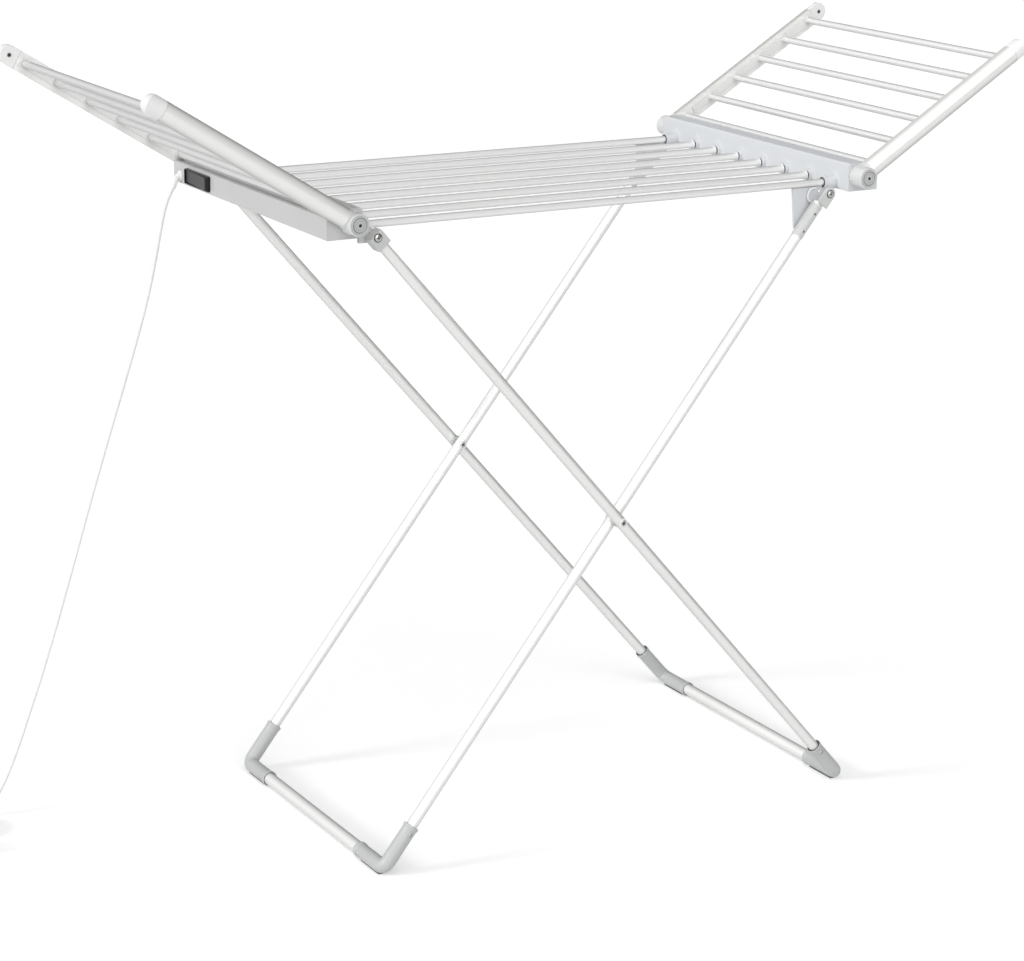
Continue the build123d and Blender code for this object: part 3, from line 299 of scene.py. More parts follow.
# Straight, mirrored and see-through rays meet the full backdrop. The soft light that it casts on
# rough surfaces is only about half as strong, so that the lamps can shape the tubes.
LEVEL = 0.51
BRIGHT_SIDE = 1.5
DIM_SIDE = 0.06
world = bpy.data.worlds.new("studio")
scene.world = world
world.use_nodes = True
world.cycles.sampling_method = "NONE"
tree = world.node_tree
tree.nodes.clear()
rays = tree.nodes.new("ShaderNodeLightPath").outputs
kinds = ("Camera", "Glossy", "Transmission")
eye, shine, glass = (Field(tree, rays[f"Is {kind} Ray"]) for kind in kinds)
level = LEVEL + (1.0 - LEVEL) * eye.most(shine).most(glass)
# The studio is dimmer on the side away from the lamps, which gives the tubes their soft darker
# edges. Seen directly it stays white.
way = Field(tree, tree.nodes.new("ShaderNodeTexCoord").outputs["Generated"])
split = way.node("ShaderNodeSeparateXYZ", i0=way)
fade = BRIGHT_SIDE - (BRIGHT_SIDE - DIM_SIDE) * Field(tree, split.outputs["X"]).step(-1.0, 1.0)
sky = eye.node("ShaderNodeBackground", Strength=level * (fade + eye))
tree.links.new(sky.outputs[0], tree.nodes.new("ShaderNodeOutputWorld").inputs["Surface"])
print("floor and backdrop made")


# %% Broad lamps
def broad_sun(name, toward, spread, strength):
    """A lamp so far away that it lights the floor evenly; spread is its width in degrees."""
    lamp = bpy.data.lights.new(name, "SUN")
    lamp.energy = strength
    lamp.angle = math.radians(spread)
    holder = bpy.data.objects.new(name, lamp)
    scene.collection.objects.link(holder)
    holder.rotation_mode = "QUATERNION"
    holder.rotation_quaternion = Vector(toward).to_track_quat("-Z", "Y")


broad_sun("side_lamp", (0.92, -0.14, -0.36), 14, 1.4)
broad_sun("top_lamp", (0.10, 0.45, -0.90), 60, 0.85)
broad_sun("front_lamp", (0.15, 0.93, -0.33), 60, 1.25)
print("lamps:", len(bpy.data.lights))

# %% [markdown]
# ## Finishes
# The tubes are thin steel with a silvery white powder coat: even, softly shiny, with a faint
# orange-peel skin. The mouldings are pale grey plastic with a fine spark-eroded grain, and the
# far housing is a touch bluer than the one with the switch.


# %% A start for every finish
class Finish:
    """A material with one Principled shader, and noise measured in metres on the object."""

    def __init__(self, name):
        self.material, self.tree, output = new_material(name)
        self.shader = self.tree.nodes.new("ShaderNodeBsdfPrincipled")
        self.tree.links.new(self.shader.outputs[0], output.inputs["Surface"])
        place = self.tree.nodes.new("ShaderNodeTexCoord")
        self.place = Field(self.tree, place.outputs["Object"])

    def noise(self, scale, detail=2.0, stretch=None):
        """Noise of about 1 / scale metres, between 0 and 1, drawn out along an axis by stretch."""
        at = self.place
        if stretch:
            made = at.node("ShaderNodeMapping", Vector=at, Scale=stretch)
            at = Field(self.tree, made.outputs[0])
        made = at.node("ShaderNodeTexNoise", Vector=at, Scale=scale, Detail=detail)
        return Field(self.tree, made.outputs[0])

    def mark(self, name):
        """A number that the mesh itself carries at each point."""
        made = self.place.node("ShaderNodeAttribute", {"attribute_name": name})
        return Field(self.tree, made.outputs["Fac"])

    def turned_away(self):
        """0 where the surface faces the eye, 1 at its outline."""
        made = self.place.node("ShaderNodeLayerWeight", Blend=0.5)
        return Field(self.tree, made.outputs["Facing"])

    def colour(self, low, high, mask):
        """Base colour between two colours by a mask."""
        ends = {"i6": (*low, 1), "i7": (*high, 1)}
        made = mask.node("ShaderNodeMix", {"data_type": "RGBA"}, i0=mask, **ends)
        self.tree.links.new(made.outputs[2], self.shader.inputs["Base Color"])

    def set(self, **values):
        """Values or fields for the shader's own inputs, by name with _ for spaces."""
        for key, value in values.items():
            feed(self.tree, self.shader.inputs[key.replace("_", " ")], value)

    def bump(self, height, depth, strength):
        """Small relief: height is a field, depth is in metres."""
        made = height.node("ShaderNodeBump", Height=height, Distance=depth, Strength=strength)
        self.tree.links.new(made.outputs[0], self.shader.inputs["Normal"])


print("finish maker ready")


# %% Powder-coated tube
def coat_with_painted_edge_shade(name, low, high, roughness, metallic):
    """Sprayed powder: an even tone, darkened by painted shade where the surface turns away from the
    eye, and a faint orange peel about a millimetre across."""
    finish = Finish(name)
    finish.colour(low, high, 1.0 - finish.turned_away().step(0.15, 0.85))
    finish.set(Metallic=metallic, Roughness=roughness)
    finish.bump(finish.noise(900.0, 1.0), 0.00002, 0.10)
    return finish.material


# The first colour of each coat is the painted shade at a tube's outline, the second its own colour.
tube_coat = coat_with_painted_edge_shade("silver_white_coat", (0.62, 0.625, 0.615), (0.85, 0.855, 0.84), 0.27, 0.30)
rod_coat = coat_with_painted_edge_shade("heated_rod_coat", (0.52, 0.525, 0.52), (0.87, 0.875, 0.87), 0.27, 0.30)
rail_coat = coat_with_painted_edge_shade("rail_white_coat", (0.48, 0.48, 0.465), (0.86, 0.86, 0.84), 0.25, 0.20)
print("coats:", tube_coat.name, rod_coat.name, rail_coat.name)


# %% Moulded plastic
def moulding(name, low, lift, roughness, specular=0.5):
    """Moulded plastic: nearly even colour, a fine grain, and slightly duller worn patches. The
    colour goes from low to low + lift."""
    finish = Finish(name)
    clouds = finish.noise(14.0, 3.0)
    finish.colour(low, [v + lift for v in low], clouds)
    finish.set(Roughness=roughness + (clouds - 0.5) * 0.10, Specular_IOR_Level=specular)
    finish.bump(finish.noise(1600.0, 2.0), 0.00006, 0.5)
    return finish.material


joint_grey = moulding("joint_grey", (0.44, 0.465, 0.46), 0.05, 0.45)
housing_grey = moulding("housing_grey", (0.50, 0.505, 0.50), 0.04, 0.40)
housing_blue = moulding("housing_blue_white", (0.60, 0.615, 0.635), 0.04, 0.40)
knuckle_grey = moulding("knuckle_grey", (0.61, 0.62, 0.615), 0.05, 0.42)
block_grey = moulding("block_grey", (0.49, 0.50, 0.49), 0.05, 0.42)
sleeve_grey = moulding("sleeve_grey", (0.54, 0.55, 0.54), 0.05, 0.42)
cap_grey = moulding("tip_cap_grey", (0.78, 0.785, 0.775), 0.05, 0.36)
# A dark grey painted as the shade at the bottom of the tip caps' seams.
painted_seam_shade = moulding("painted_seam_shade", (0.10, 0.10, 0.10), 0.04, 0.6)
strip_grey = moulding("strip_grey", (0.72, 0.725, 0.715), 0.05, 0.40)
switch_black = moulding("switch_black", (0.010, 0.010, 0.011), 0.006, 0.30, 0.22)
rocker_grey = moulding("rocker_grey", (0.042, 0.042, 0.045), 0.018, 0.40, 0.30)
lead_white = moulding("lead_white", (0.78, 0.78, 0.77), 0.06, 0.48)
plug_white = moulding("plug_white", (0.80, 0.80, 0.79), 0.05, 0.35)
pad_rubber = moulding("pad_rubber", (0.09, 0.09, 0.095), 0.03, 0.75)
ivory = moulding("terminal_ivory", (0.70, 0.67, 0.60), 0.06, 0.5)
silicone = moulding("cable_silicone", (0.62, 0.60, 0.55), 0.06, 0.55)


def plated(name, low, high, roughness):
    """Plated metal: fully metallic, brushed, and dark where a recess is marked: painted shade."""
    finish = Finish(name)
    wipe = finish.noise(400.0, 2.0, (1.0, 1.0, 0.2))
    open_part = 1.0 - finish.mark("recess") * 0.92
    # Painted shade: where a recess is marked, the colour falls to nearly black.
    finish.colour(tuple(0.06 * v for v in low), high, open_part * (0.75 + 0.25 * wipe))
    finish.set(Metallic=1.0, Roughness=roughness + (wipe - 0.5) * 0.15)
    return finish.material


def capped(name, low, high, roughness):
    """The moulded grey of caps with a hole: the marked inside of the hole is painted nearly
    black, as shade.
    """
    finish = Finish(name)
    clouds = finish.noise(14.0, 3.0)
    open_part = 1.0 - finish.mark("recess")
    share = low[0] / high[0]
    # The near black is painted shade in the marked hollows.
    finish.colour((0.02, 0.02, 0.02), high, open_part * (share + (1.0 - share) * clouds))
    finish.set(Roughness=roughness + (clouds - 0.5) * 0.10)
    finish.bump(finish.noise(1600.0, 2.0), 0.00004, 0.5)
    return finish.material


cap_disc_grey = capped("cap_disc_grey", (0.43, 0.44, 0.435), (0.50, 0.51, 0.505), 0.38)
socket_grey = capped("socket_grey", (0.43, 0.445, 0.44), (0.485, 0.50, 0.495), 0.38)
collar_white = capped("collar_white", (0.74, 0.74, 0.73), (0.80, 0.80, 0.79), 0.35)
# Nearly black, painted as the shade round screw heads and inside the long bosses' mouths.
painted_shade_black = moulding("painted_shade_black", (0.03, 0.03, 0.03), 0.02, 0.5)
screw_zinc = plated("screw_zinc", (0.50, 0.50, 0.49), (0.66, 0.66, 0.65), 0.30)
dark_zinc = plated("dark_zinc", (0.16, 0.16, 0.16), (0.24, 0.24, 0.24), 0.35)
pin_brass = plated("pin_brass", (0.62, 0.48, 0.22), (0.74, 0.60, 0.32), 0.25)
print("materials:", len(bpy.data.materials))

# %% Finishes on the CAD nodes
# Finer pieces stand in for the other solids later on, so those only need a plain grey.
finishes = (
    (rod_coat, ("centre_rod", "wing_rods")),
    (tube_coat, ("leg_near", "leg_far", "crossbar")),
    (joint_grey, ("crossing_spacers",)),
    (housing_blue, ("end_cover",)),
    (screw_zinc, ("housing_screws", "hinge_pins")),
    (switch_black, ("switch_body",)),
    (ivory, ("terminal_block", "thermal_cutout", "cord_clamp")),
    (silicone, ("heating_cable",)),
)
for name, obj in nodes.items():
    fits = [finish for finish, keys in finishes if any(key in name for key in keys)]
    obj.data.materials.clear()
    obj.data.materials.append(fits[0] if fits else housing_grey)
print("dressed nodes:", len(nodes))

# %% [markdown]
# ## Surfaces from two parameters
# The mouldings on this airer are turned, swept or gently arched shapes, so each one is a grid of
# points worked out from a formula in one go. One helper turns such grids into a mesh, closes
# their ends and finds which way is out, and a second lays a profile round an axis like clay on a
# wheel.


# %% Grids into one object
def quads(rows, columns, first, loop):
    """Corner numbers of a grid's faces: each point with its right, upper right and upper
    neighbour, where columns go round and rows go round too if loop is true."""
    r = np.arange(rows if loop else rows - 1)[:, None]
    c = np.arange(columns)[None, :]
    here, above = r * columns, (r + 1) % rows * columns
    beside = (c + 1) % columns
    corners = [here + c, here + beside, above + beside, above + c]
    return first + np.stack(corners, axis=-1).reshape(-1, 4)


def placed(name, mesh, body, stands_for):
    """An object for the mesh, riding on its body and standing in for CAD nodes."""
    piece = bpy.data.objects.new(name, mesh)
    scene.collection.objects.link(piece)
    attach(piece, body)
    if stands_for:
        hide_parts(*stands_for)
    print(f"{name}: {len(mesh.polygons)} faces")
    return piece


def skin(name, sheets, material, body, stands_for=()):
    """Make one object from sheets. A sheet is (points[rows, columns, 3], loop, marks), where
    marks, 0 to 1 for each point, says where the shader paints shade into a recess."""
    points, faces, marks, first = [], [], [], 0
    for grid, loop, mark in sheets:
        rows, columns = grid.shape[:2]
        points.append(grid.reshape(-1, 3))
        faces.append(quads(rows, columns, first, loop))
        marks.append(np.broadcast_to(mark, (rows, columns)).ravel())
        first += rows * columns
    points, faces = np.concatenate(points), np.concatenate(faces)
    mesh = bpy.data.meshes.new(name)
    mesh.vertices.add(len(points))
    mesh.vertices.foreach_set("co", points.ravel())
    mesh.loops.add(faces.size)
    mesh.loops.foreach_set("vertex_index", faces.ravel())
    mesh.polygons.add(len(faces))
    mesh.polygons.foreach_set("loop_start", np.arange(0, faces.size, 4))
    mesh.update(calc_edges=True)
    recess = mesh.attributes.new("recess", "FLOAT", "POINT")
    recess.data.foreach_set("value", np.concatenate(marks).astype(np.float32))
    work = bmesh.new()
    work.from_mesh(mesh)
    bmesh.ops.remove_doubles(work, verts=work.verts, dist=1e-6)
    bmesh.ops.dissolve_degenerate(work, edges=work.edges, dist=1e-7)
    bmesh.ops.recalc_face_normals(work, faces=work.faces)
    work.to_mesh(mesh)
    work.free()
    mesh.shade_smooth()
    mesh.set_sharp_from_angle(angle=math.radians(40))
    mesh.materials.append(material)
    return placed(name, mesh, body, stands_for)


# %% Profiles and turned shapes
def eased(corners, size, steps=3):
    """Round the inner corners of an open profile: near each corner C the line leaves A and joins
    B on the curve (1-t)^2 A + 2t(1-t) C + t^2 B, with A and B a little way off the corner."""
    corners = np.asarray(corners, float)
    before, here, after = corners[:-2], corners[1:-1], corners[2:]
    into, out = before - here, after - here
    far_in, far_out = np.linalg.norm(into, axis=1), np.linalg.norm(out, axis=1)
    reach = np.minimum(size, 0.45 * np.minimum(far_in, far_out))
    a = here + into * (reach / far_in)[:, None]
    b = here + out * (reach / far_out)[:, None]
    t = np.linspace(0, 1, steps + 1)[None, :, None]
    bends = (1 - t) ** 2 * a[:, None] + 2 * t * (1 - t) * here[:, None] + t**2 * b[:, None]
    return np.concatenate([corners[:1], bends.reshape(-1, 2), corners[-1:]])


def turned(profile, origin, axis, columns=48, ripple=None):
    """A profile of (distance along the axis, radius) turned about the axis. ripple, if given,
    takes the two grids (along, angle) and returns how far each point moves outwards."""
    axis = Vector(axis).normalized()
    side = axis.orthogonal().normalized()
    up = axis.cross(side)
    along, radius = np.asarray(profile, float).T
    angle = np.linspace(0, 2 * math.pi, columns, endpoint=False)
    radius = np.broadcast_to(radius[:, None], (len(radius), columns))
    if ripple:
        radius = radius + ripple(along[:, None], angle[None, :]) * (radius > 0)
    ring = np.cos(angle)[:, None] * np.array(side) + np.sin(angle)[:, None] * np.array(up)
    return np.array(origin) + along[:, None, None] * np.array(axis) + radius[..., None] * ring


def mirrored(grid):
    """The same grid on the other side of the airer."""
    return grid * np.array([1.0, -1.0, 1.0])


def both_sides(sheets):
    """The sheets and their mirror images across the airer."""
    return sheets + [(mirrored(grid), loop, mark) for grid, loop, mark in sheets]


WINGS = (("left_wing", -1), ("right_wing", 1))
print("helpers ready: skin, eased, turned, mirrored, both_sides")

# %% [markdown]
# ## Eased mouldings
# A moulding never has a knife edge, because molten plastic doesn't fill one. For the housings,
# blocks and plates the CAD shape is right and only its edges are too crisp, so each is copied,
# its loose triangles are merged, flat faces are joined, and a Bevel modifier rolls the edges.


# %% Ease a CAD solid's edges
def softened(node, width, material):
    """A copy of a CAD solid with rolled edges, standing in for it."""
    angle = math.radians(38)
    work = bmesh.new()
    work.from_mesh(nodes[node].data)
    bmesh.ops.remove_doubles(work, verts=work.verts, dist=3e-6)
    flat = math.radians(0.8)
    bmesh.ops.dissolve_limit(work, angle_limit=flat, verts=work.verts, edges=work.edges)
    mesh = bpy.data.meshes.new(node + "_eased")
    work.to_mesh(mesh)
    work.free()
    for spare in ("custom_normal", "sharp_face", "sharp_edge"):
        if spare in mesh.attributes:
            mesh.attributes.remove(mesh.attributes[spare])
    mesh.shade_smooth()
    mesh.set_sharp_from_angle(angle=angle)
    mesh.materials.append(material)
    piece = placed(node + "_eased", mesh, body_of_node[node], [node])
    bevel = piece.modifiers.new("rolled_edges", "BEVEL")
    bevel.width = width
    bevel.segments = 3
    bevel.limit_method = "ANGLE"
    bevel.angle_limit = angle
    bevel.harden_normals = True
    return piece


for alike, width, material, slot in (
    ("control_housing", 0.0010, housing_grey, "light_moulding"),
    ("end_housing", 0.0010, housing_blue, "light_moulding"),
    ("leg_brackets", 0.0005, housing_blue, "light_moulding"),
    ("hook_plates", 0.0008, sleeve_grey, "light_moulding"),
    ("outer_leg_blocks", 0.0008, block_grey, "grey_moulding"),
    ("left_wing_knuckles right_wing_knuckles", 0.0008, knuckle_grey, "grey_moulding"),
    ("left_wing_rails right_wing_rails", 0.0007, rail_coat, "white_tube"),
    ("left_wing_tip_caps right_wing_tip_caps", 0.0009, cap_grey, "grey_moulding"),
    ("left_wing_strips right_wing_strips", 0.0003, strip_grey, "light_moulding"),
    ("switch_bezel", 0.0006, switch_black, "black_moulding"),
    ("switch_rocker", 0.0009, rocker_grey, "rocker_grey"),
    ("outer_foot_pads inner_foot_pads", 0.0004, pad_rubber, "pad_rubber"),
):
    for node in alike.split():
        softened(node, width, material)

# %% [markdown]
# ## Corner sockets at the feet
# Each leg meets its bottom tube in a round moulded elbow. It could be a bent CAD tube, but the
# real one has a thick rolled lip at both mouths, a shadow gap round the tube inside the lip and a
# fine seam where the two halves of the mould met. All of that is one closed profile carried
# round the corner.

# %% Sizes of a corner socket
OUTER_Y = 0.2365
INNER_Y = 0.217
OUTER_TOP = Vector((-0.374, -OUTER_Y, 0.915))
OUTER_FOOT = Vector((0.433, -OUTER_Y, 0.0125))
INNER_TOP = Vector((0.3665, -INNER_Y, 0.9125))
INNER_FOOT = Vector((-0.342, -INNER_Y, 0.0125))
OUTER_DOWN = (OUTER_FOOT - OUTER_TOP).normalized()
INNER_DOWN = (INNER_FOOT - INNER_TOP).normalized()
SOCKET_RADIUS = 0.0107
SOCKET_BEND = 0.0118
LEG_ARM = 0.070
BAR_ARM = 0.072
LEG_TUBE = 0.008
BAR_TUBE = 0.0095
LIP = 0.0008
SOCKET_LENGTH = LEG_ARM + BAR_ARM - 2 * SOCKET_BEND + SOCKET_BEND * math.pi / 2
print("socket length along its middle line:", round(SOCKET_LENGTH, 4))


# %% Carry a ring round the corner
def round_corner(distance, foot, up, bar_way):
    """Points, outward and sideways directions at distances along the socket's middle line:
    straight down the leg, a quarter circle, then straight along the bar."""
    down, across = -np.array(up), np.array(bar_way)
    leg_run = LEG_ARM - SOCKET_BEND
    angle = np.clip((distance - leg_run) / SOCKET_BEND, 0, math.pi / 2)[:, None]
    bar_run = np.maximum(distance - leg_run - SOCKET_BEND * math.pi / 2, 0)[:, None]
    middle = (
        np.array(foot + up * LEG_ARM)
        + down * np.minimum(distance, leg_run)[:, None]
        + down * SOCKET_BEND * np.sin(angle)
        + across * (SOCKET_BEND * (1 - np.cos(angle)) + bar_run)
    )
    inwards = across * np.cos(angle) - down * np.sin(angle)
    sideways = np.cross(down, across)
    return middle, inwards, sideways


def socket_grid(foot, up, bar_way, columns=72):
    """The socket's closed profile of (distance, radius): out over the leg lip, along the body,
    over the bar lip and back through the bore, with a raised seam on the plane of the bend.
    The second result marks the shadow gap inside each mouth, which the shader darkens as
    painted shade."""
    end = SOCKET_LENGTH
    out, lip = SOCKET_RADIUS, SOCKET_RADIUS + LIP
    leg_gap, bar_gap = LEG_TUBE + 0.0009, BAR_TUBE + 0.0005
    leg_mouth = [(0.004, leg_gap), (0.0, leg_gap), (0.0, lip), (0.0042, lip), (0.0052, out)]
    outside = eased(leg_mouth + [(0.030, out)], 0.0006)
    bend = np.stack([np.linspace(0.032, end - 0.032, 40), np.full(40, out)], axis=1)
    bar_lip = [(end - 0.0062, out), (end - 0.0052, lip + 0.0001), (end, lip + 0.0001)]
    bar_mouth = [(end, bar_gap), (end - 0.004, bar_gap)]
    far_side = eased([(end - 0.030, out)] + bar_lip + bar_mouth, 0.0005)
    bar_bore = [(end - 0.0041, BAR_TUBE + 0.00004), (end - 0.045, BAR_TUBE), (end - 0.047, 0.004)]
    core = np.stack([np.linspace(end - 0.05, 0.05, 12), np.full(12, 0.004)], axis=1)
    leg_bore = [(0.048, 0.004), (0.046, LEG_TUBE), (0.0041, LEG_TUBE + 0.00004)]
    distance, radius = np.concatenate([outside, bend, far_side, bar_bore, core, leg_bore]).T
    # The gap inside each mouth is marked for painted shade.
    in_mouth = (distance < 0.0042) | (distance > end - 0.0042)
    mouth = in_mouth & (radius < SOCKET_RADIUS - 0.0004)
    middle, inwards, sideways = round_corner(distance, foot, up, bar_way)
    angle = np.linspace(0, 2 * math.pi, columns, endpoint=False)[None, :]
    seam = 0.00012 * np.exp(-((np.sin(angle) / 0.05) ** 2)) * (radius == out)[:, None]
    reach = (radius[:, None] + seam)[..., None]
    ring = np.cos(angle)[..., None] * inwards[:, None] + np.sin(angle)[..., None] * sideways
    return middle[:, None] + reach * ring, mouth[:, None] * 1.0


FRAMES = (("outer", OUTER_FOOT, OUTER_DOWN, 1), ("inner", INNER_FOOT, INNER_DOWN, -1))
for name, foot, down, side in FRAMES:
    socket, mouth = socket_grid(foot, -down, Vector((0, 1, 0)))
    for place, grid in (("near", socket), ("far", mirrored(socket))):
        piece = f"{name}_corner_socket_{place}"
        stands_for = [f"{name}_elbow_{place}"]
        skin(piece, [(grid, True, mouth)], socket_grey, name + "_legs", stands_for)

# %% [markdown]
# ## Screws
# Every screw on the airer is a pan head with a cross recess. The head is a dome on a polar grid,
# and the recess is pressed into it by a formula, so its walls are real geometry. The same
# formula gives each point a mark, which the metal's shader uses to paint shade at the bottom of
# the cross.


# %% A pan head with a cross recess
def screw(seat, way, head, height, shank, depth, turn=0.6, slot=0.15):
    """Grid of a screw: a shank of radius shank that ends depth below the seat, then a head whose
    height falls as a quarter ellipse from its middle, less a cross-shaped recess. The recess is
    as deep as the smaller of two ramps: in from the ends of its slots, and in from their sides."""
    way = Vector(way).normalized()
    side = way.orthogonal().normalized()
    up = way.cross(side)
    share = np.linspace(1, 0, 22)
    radius = np.concatenate([[0, shank, shank, head], head * share])
    rise = np.concatenate([[-depth, -depth, -0.0001, 0.0], height * np.sqrt(1 - 0.86 * share**2)])
    angle = np.linspace(0, 2 * math.pi, 56, endpoint=False)[None, :]
    x = np.abs(radius[:, None] * np.cos(angle + turn))
    y = np.abs(radius[:, None] * np.sin(angle + turn))
    wide, long = slot * head, 0.64 * head
    slots = np.maximum(np.minimum(wide - x, long - y), np.minimum(wide - y, long - x))
    slots = np.clip(slots / (0.10 * head), 0, 1) * (rise > 0.3 * height)[:, None]
    lift = rise[:, None] - 0.55 * height * slots
    grid = np.array(seat) + lift[..., None] * np.array(way)
    grid = grid + (radius[:, None] * np.cos(angle))[..., None] * np.array(side)
    grid = grid + (radius[:, None] * np.sin(angle))[..., None] * np.array(up)
    return grid, False, slots


SCREW_ON_LEG = 0.058
SCREW_ON_BAR = 0.060
SMALL_SCREW = {"head": 0.003, "height": 0.0012, "shank": 0.00145, "depth": 0.006}
for name, foot, down, side in FRAMES:
    on_leg = foot - down * SCREW_ON_LEG + Vector((0, -SOCKET_RADIUS, 0))
    on_bar = foot + Vector((side * SOCKET_RADIUS, SCREW_ON_BAR, 0))
    heads = [
        screw(on_leg, (0, -1, 0), **SMALL_SCREW),
        screw(on_bar, (side, 0, 0), **SMALL_SCREW, turn=1.1),
    ]
    stands_for = [name + "_elbow_screws"]
    piece = name + "_socket_screws"
    skin(piece, both_sides(heads), screw_zinc, name + "_legs", stands_for)

# %% [markdown]
# ## Crossing pins
# Where the legs cross, a pin holds the two tubes together. Outside it shows a small white washer
# with a screw in it, and the same inside, so that each leg can turn about the pin.

# %% Pins, washers and their screws
CROSSING = Vector((0.0208496, 0.0, 0.473424))
PIN_OUT = OUTER_Y + LEG_TUBE + 0.0006
PIN_IN = INNER_Y - LEG_TUBE - 0.0003


def at_side(point, y):
    """The point moved to another distance across the airer."""
    return Vector((point[0], y, point[2]))


def washer(thick, seat, way):
    """A washer 13 mm across with an eased rim."""
    rim = [(0, 0), (0, 0.0066), (thick - 0.0003, 0.0066), (thick, 0.0058), (thick, 0)]
    return turned(eased(rim, 0.0004), seat, way), False, 0.0


PIN_LENGTH = PIN_OUT - PIN_IN
PIN_RADIUS = 0.00295
pin_profile = [(0, 0), (0, PIN_RADIUS), (PIN_LENGTH, PIN_RADIUS), (PIN_LENGTH, 0)]
pin_start = at_side(CROSSING, -PIN_IN)
seat_out, seat_in = at_side(CROSSING, -(PIN_OUT + 0.0009)), at_side(CROSSING, -(PIN_IN - 0.0011))
pins = [
    screw(seat_out, (0, -1, 0), 0.0045, 0.0010, 0.002, 0.002, 0.9, 0.26),
    screw(seat_in, (0, 1, 0), 0.0045, 0.0010, 0.002, 0.002, 0.2, 0.26),
    (turned(pin_profile, pin_start, (0, -1, 0)), False, 0.0),
]
washers_and_shade_rings = [
    washer(0.0014, at_side(CROSSING, -(PIN_OUT - 0.0003)), (0, -1, 0)),
    washer(0.0012, pin_start, (0, 1, 0)),
]
body = body_of_node["crossing_rivets"]
skin("crossing_washers", both_sides(washers_and_shade_rings), lead_white, body)
stands_for = ["crossing_rivets"]
skin("crossing_pins", both_sides(pins), screw_zinc, body, stands_for)

# %% [markdown]
# ## Hinge discs and detent wheels
# The wing hinges end in a round cap with fine turned rings and a dark hole in its middle, and
# behind it a wheel with rounded teeth holds the wing at its angles. Both are turned shapes: the
# rings are small bell-shaped dips in the profile, and the teeth are a cosine round the axis.

# %% Caps with turned rings
HINGE_X = 0.409
HINGE_Z = 0.937
CAP_RADIUS = 0.0122
CAP_BACK = 0.261
CAP_THICK = 0.0025
HOLE = 0.0022
CAP_FACE = CAP_THICK - 0.0003
RING_DEPTH = 0.0005


def ring_dip(radius, at):
    """A bell-shaped dip half a millimetre wide: exp(-((r - at) / 0.5 mm)^2)."""
    return np.exp(-(((radius - at) / 0.0005) ** 2))


ringed = np.linspace(CAP_RADIUS - 0.0016, HOLE + 0.0016, 48)
dips = ring_dip(ringed, 0.0096) + 0.4 * ring_dip(ringed, 0.0064)
rim = [(0, 0), (0, CAP_RADIUS), (CAP_THICK, CAP_RADIUS), (CAP_THICK, CAP_RADIUS - 0.0012)]
well = [(CAP_THICK, HOLE + 0.0012), (CAP_THICK, HOLE), (0.0006, HOLE), (0.0006, 0)]
face = np.stack([CAP_FACE - RING_DEPTH * dips, ringed], axis=1)
cap_profile = np.concatenate([eased(rim, 0.0005), face, eased(well, 0.0003)])
height, radius = cap_profile.T
# Painted shade: the hole goes nearly black and the turned rings three quarters as dark.
painted_hole_shade = (radius <= HOLE + 1e-6) & (np.arange(len(radius)) > 20)
grooves = np.clip((CAP_FACE - height) / RING_DEPTH, 0, 1) * (height > CAP_THICK - 0.001)
shade = np.maximum(painted_hole_shade, 0.75 * grooves)[:, None]
for wing, sign in WINGS:
    cap = turned(cap_profile, (sign * HINGE_X, -CAP_BACK, HINGE_Z), (0, -1, 0), 64)
    sheets = both_sides([(cap, False, shade)])
    skin(wing + "_hinge_caps", sheets, cap_disc_grey, wing, [wing + "_discs"])


# %% Wheels with rounded teeth
def teeth(along, angle):
    """Fourteen low rounded teeth: a cosine of fourteen times the angle."""
    return 0.0004 * np.cos(14 * angle) * np.ones_like(along)


WHEEL_RADIUS = 0.0162
WHEEL_THICK = 0.0036
wheel_rim = [(0, 0), (0, WHEEL_RADIUS), (WHEEL_THICK, WHEEL_RADIUS), (WHEEL_THICK, 0.0125)]
wheel_profile = eased(wheel_rim + [(WHEEL_THICK, 0)], 0.0006)
for wing, sign in WINGS:
    wheel = turned(wheel_profile, (sign * HINGE_X, -0.2374, HINGE_Z), (0, -1, 0), 144, teeth)
    sheets = both_sides([(wheel, False, 0.0)])
    skin(wing + "_detent_wheels", sheets, knuckle_grey, wing)

# %% [markdown]
# ## Rod bushes
# Each heated rod enters its housing through a stepped bush: a wide boss on the housing, a gap
# painted dark as shade and a bright collar that grips the rod. Bosses and collars are turned
# about the rods' axes.

# %% Bosses and collars
ROD_RADIUS = 0.0052
ROD_Z = 0.925
ROD_PLACES = [0.058 * (3.5 - k) for k in range(8)]
HOUSING_FACE = 0.392
COLLAR_BORE = ROD_RADIUS - 0.0002
boss = [(-0.0005, 0.0094), (0.0010, 0.0090), (0.0022, 0.0086), (0.0052, 0.0085)]
boss_profile = eased([(-0.0005, ROD_RADIUS)] + boss + [(0.0052, ROD_RADIUS)], 0.0009)
collar = [(0.0045, 0.0056), (0.0071, 0.0056), (0.0071, 0.0066), (0.0090, 0.0064)]
collar_profile = eased([(0.0045, COLLAR_BORE)] + collar + [(0.0090, COLLAR_BORE)], 0.0003)
height, radius = collar_profile.T
# Painted shade in the collar's narrow step next to the boss.
collar_gap_shade = ((height < 0.0073) & (radius < 0.0066))[:, None] * 1.0


def on_rods(profile, rods, mark=0.0):
    """The profile turned about each rod (end, y), from its housing's face towards the middle."""
    grids = [turned(profile, (end * HOUSING_FACE, y, ROD_Z), (-end, 0, 0)) for end, y in rods]
    return [(grid, True, mark) for grid in grids]


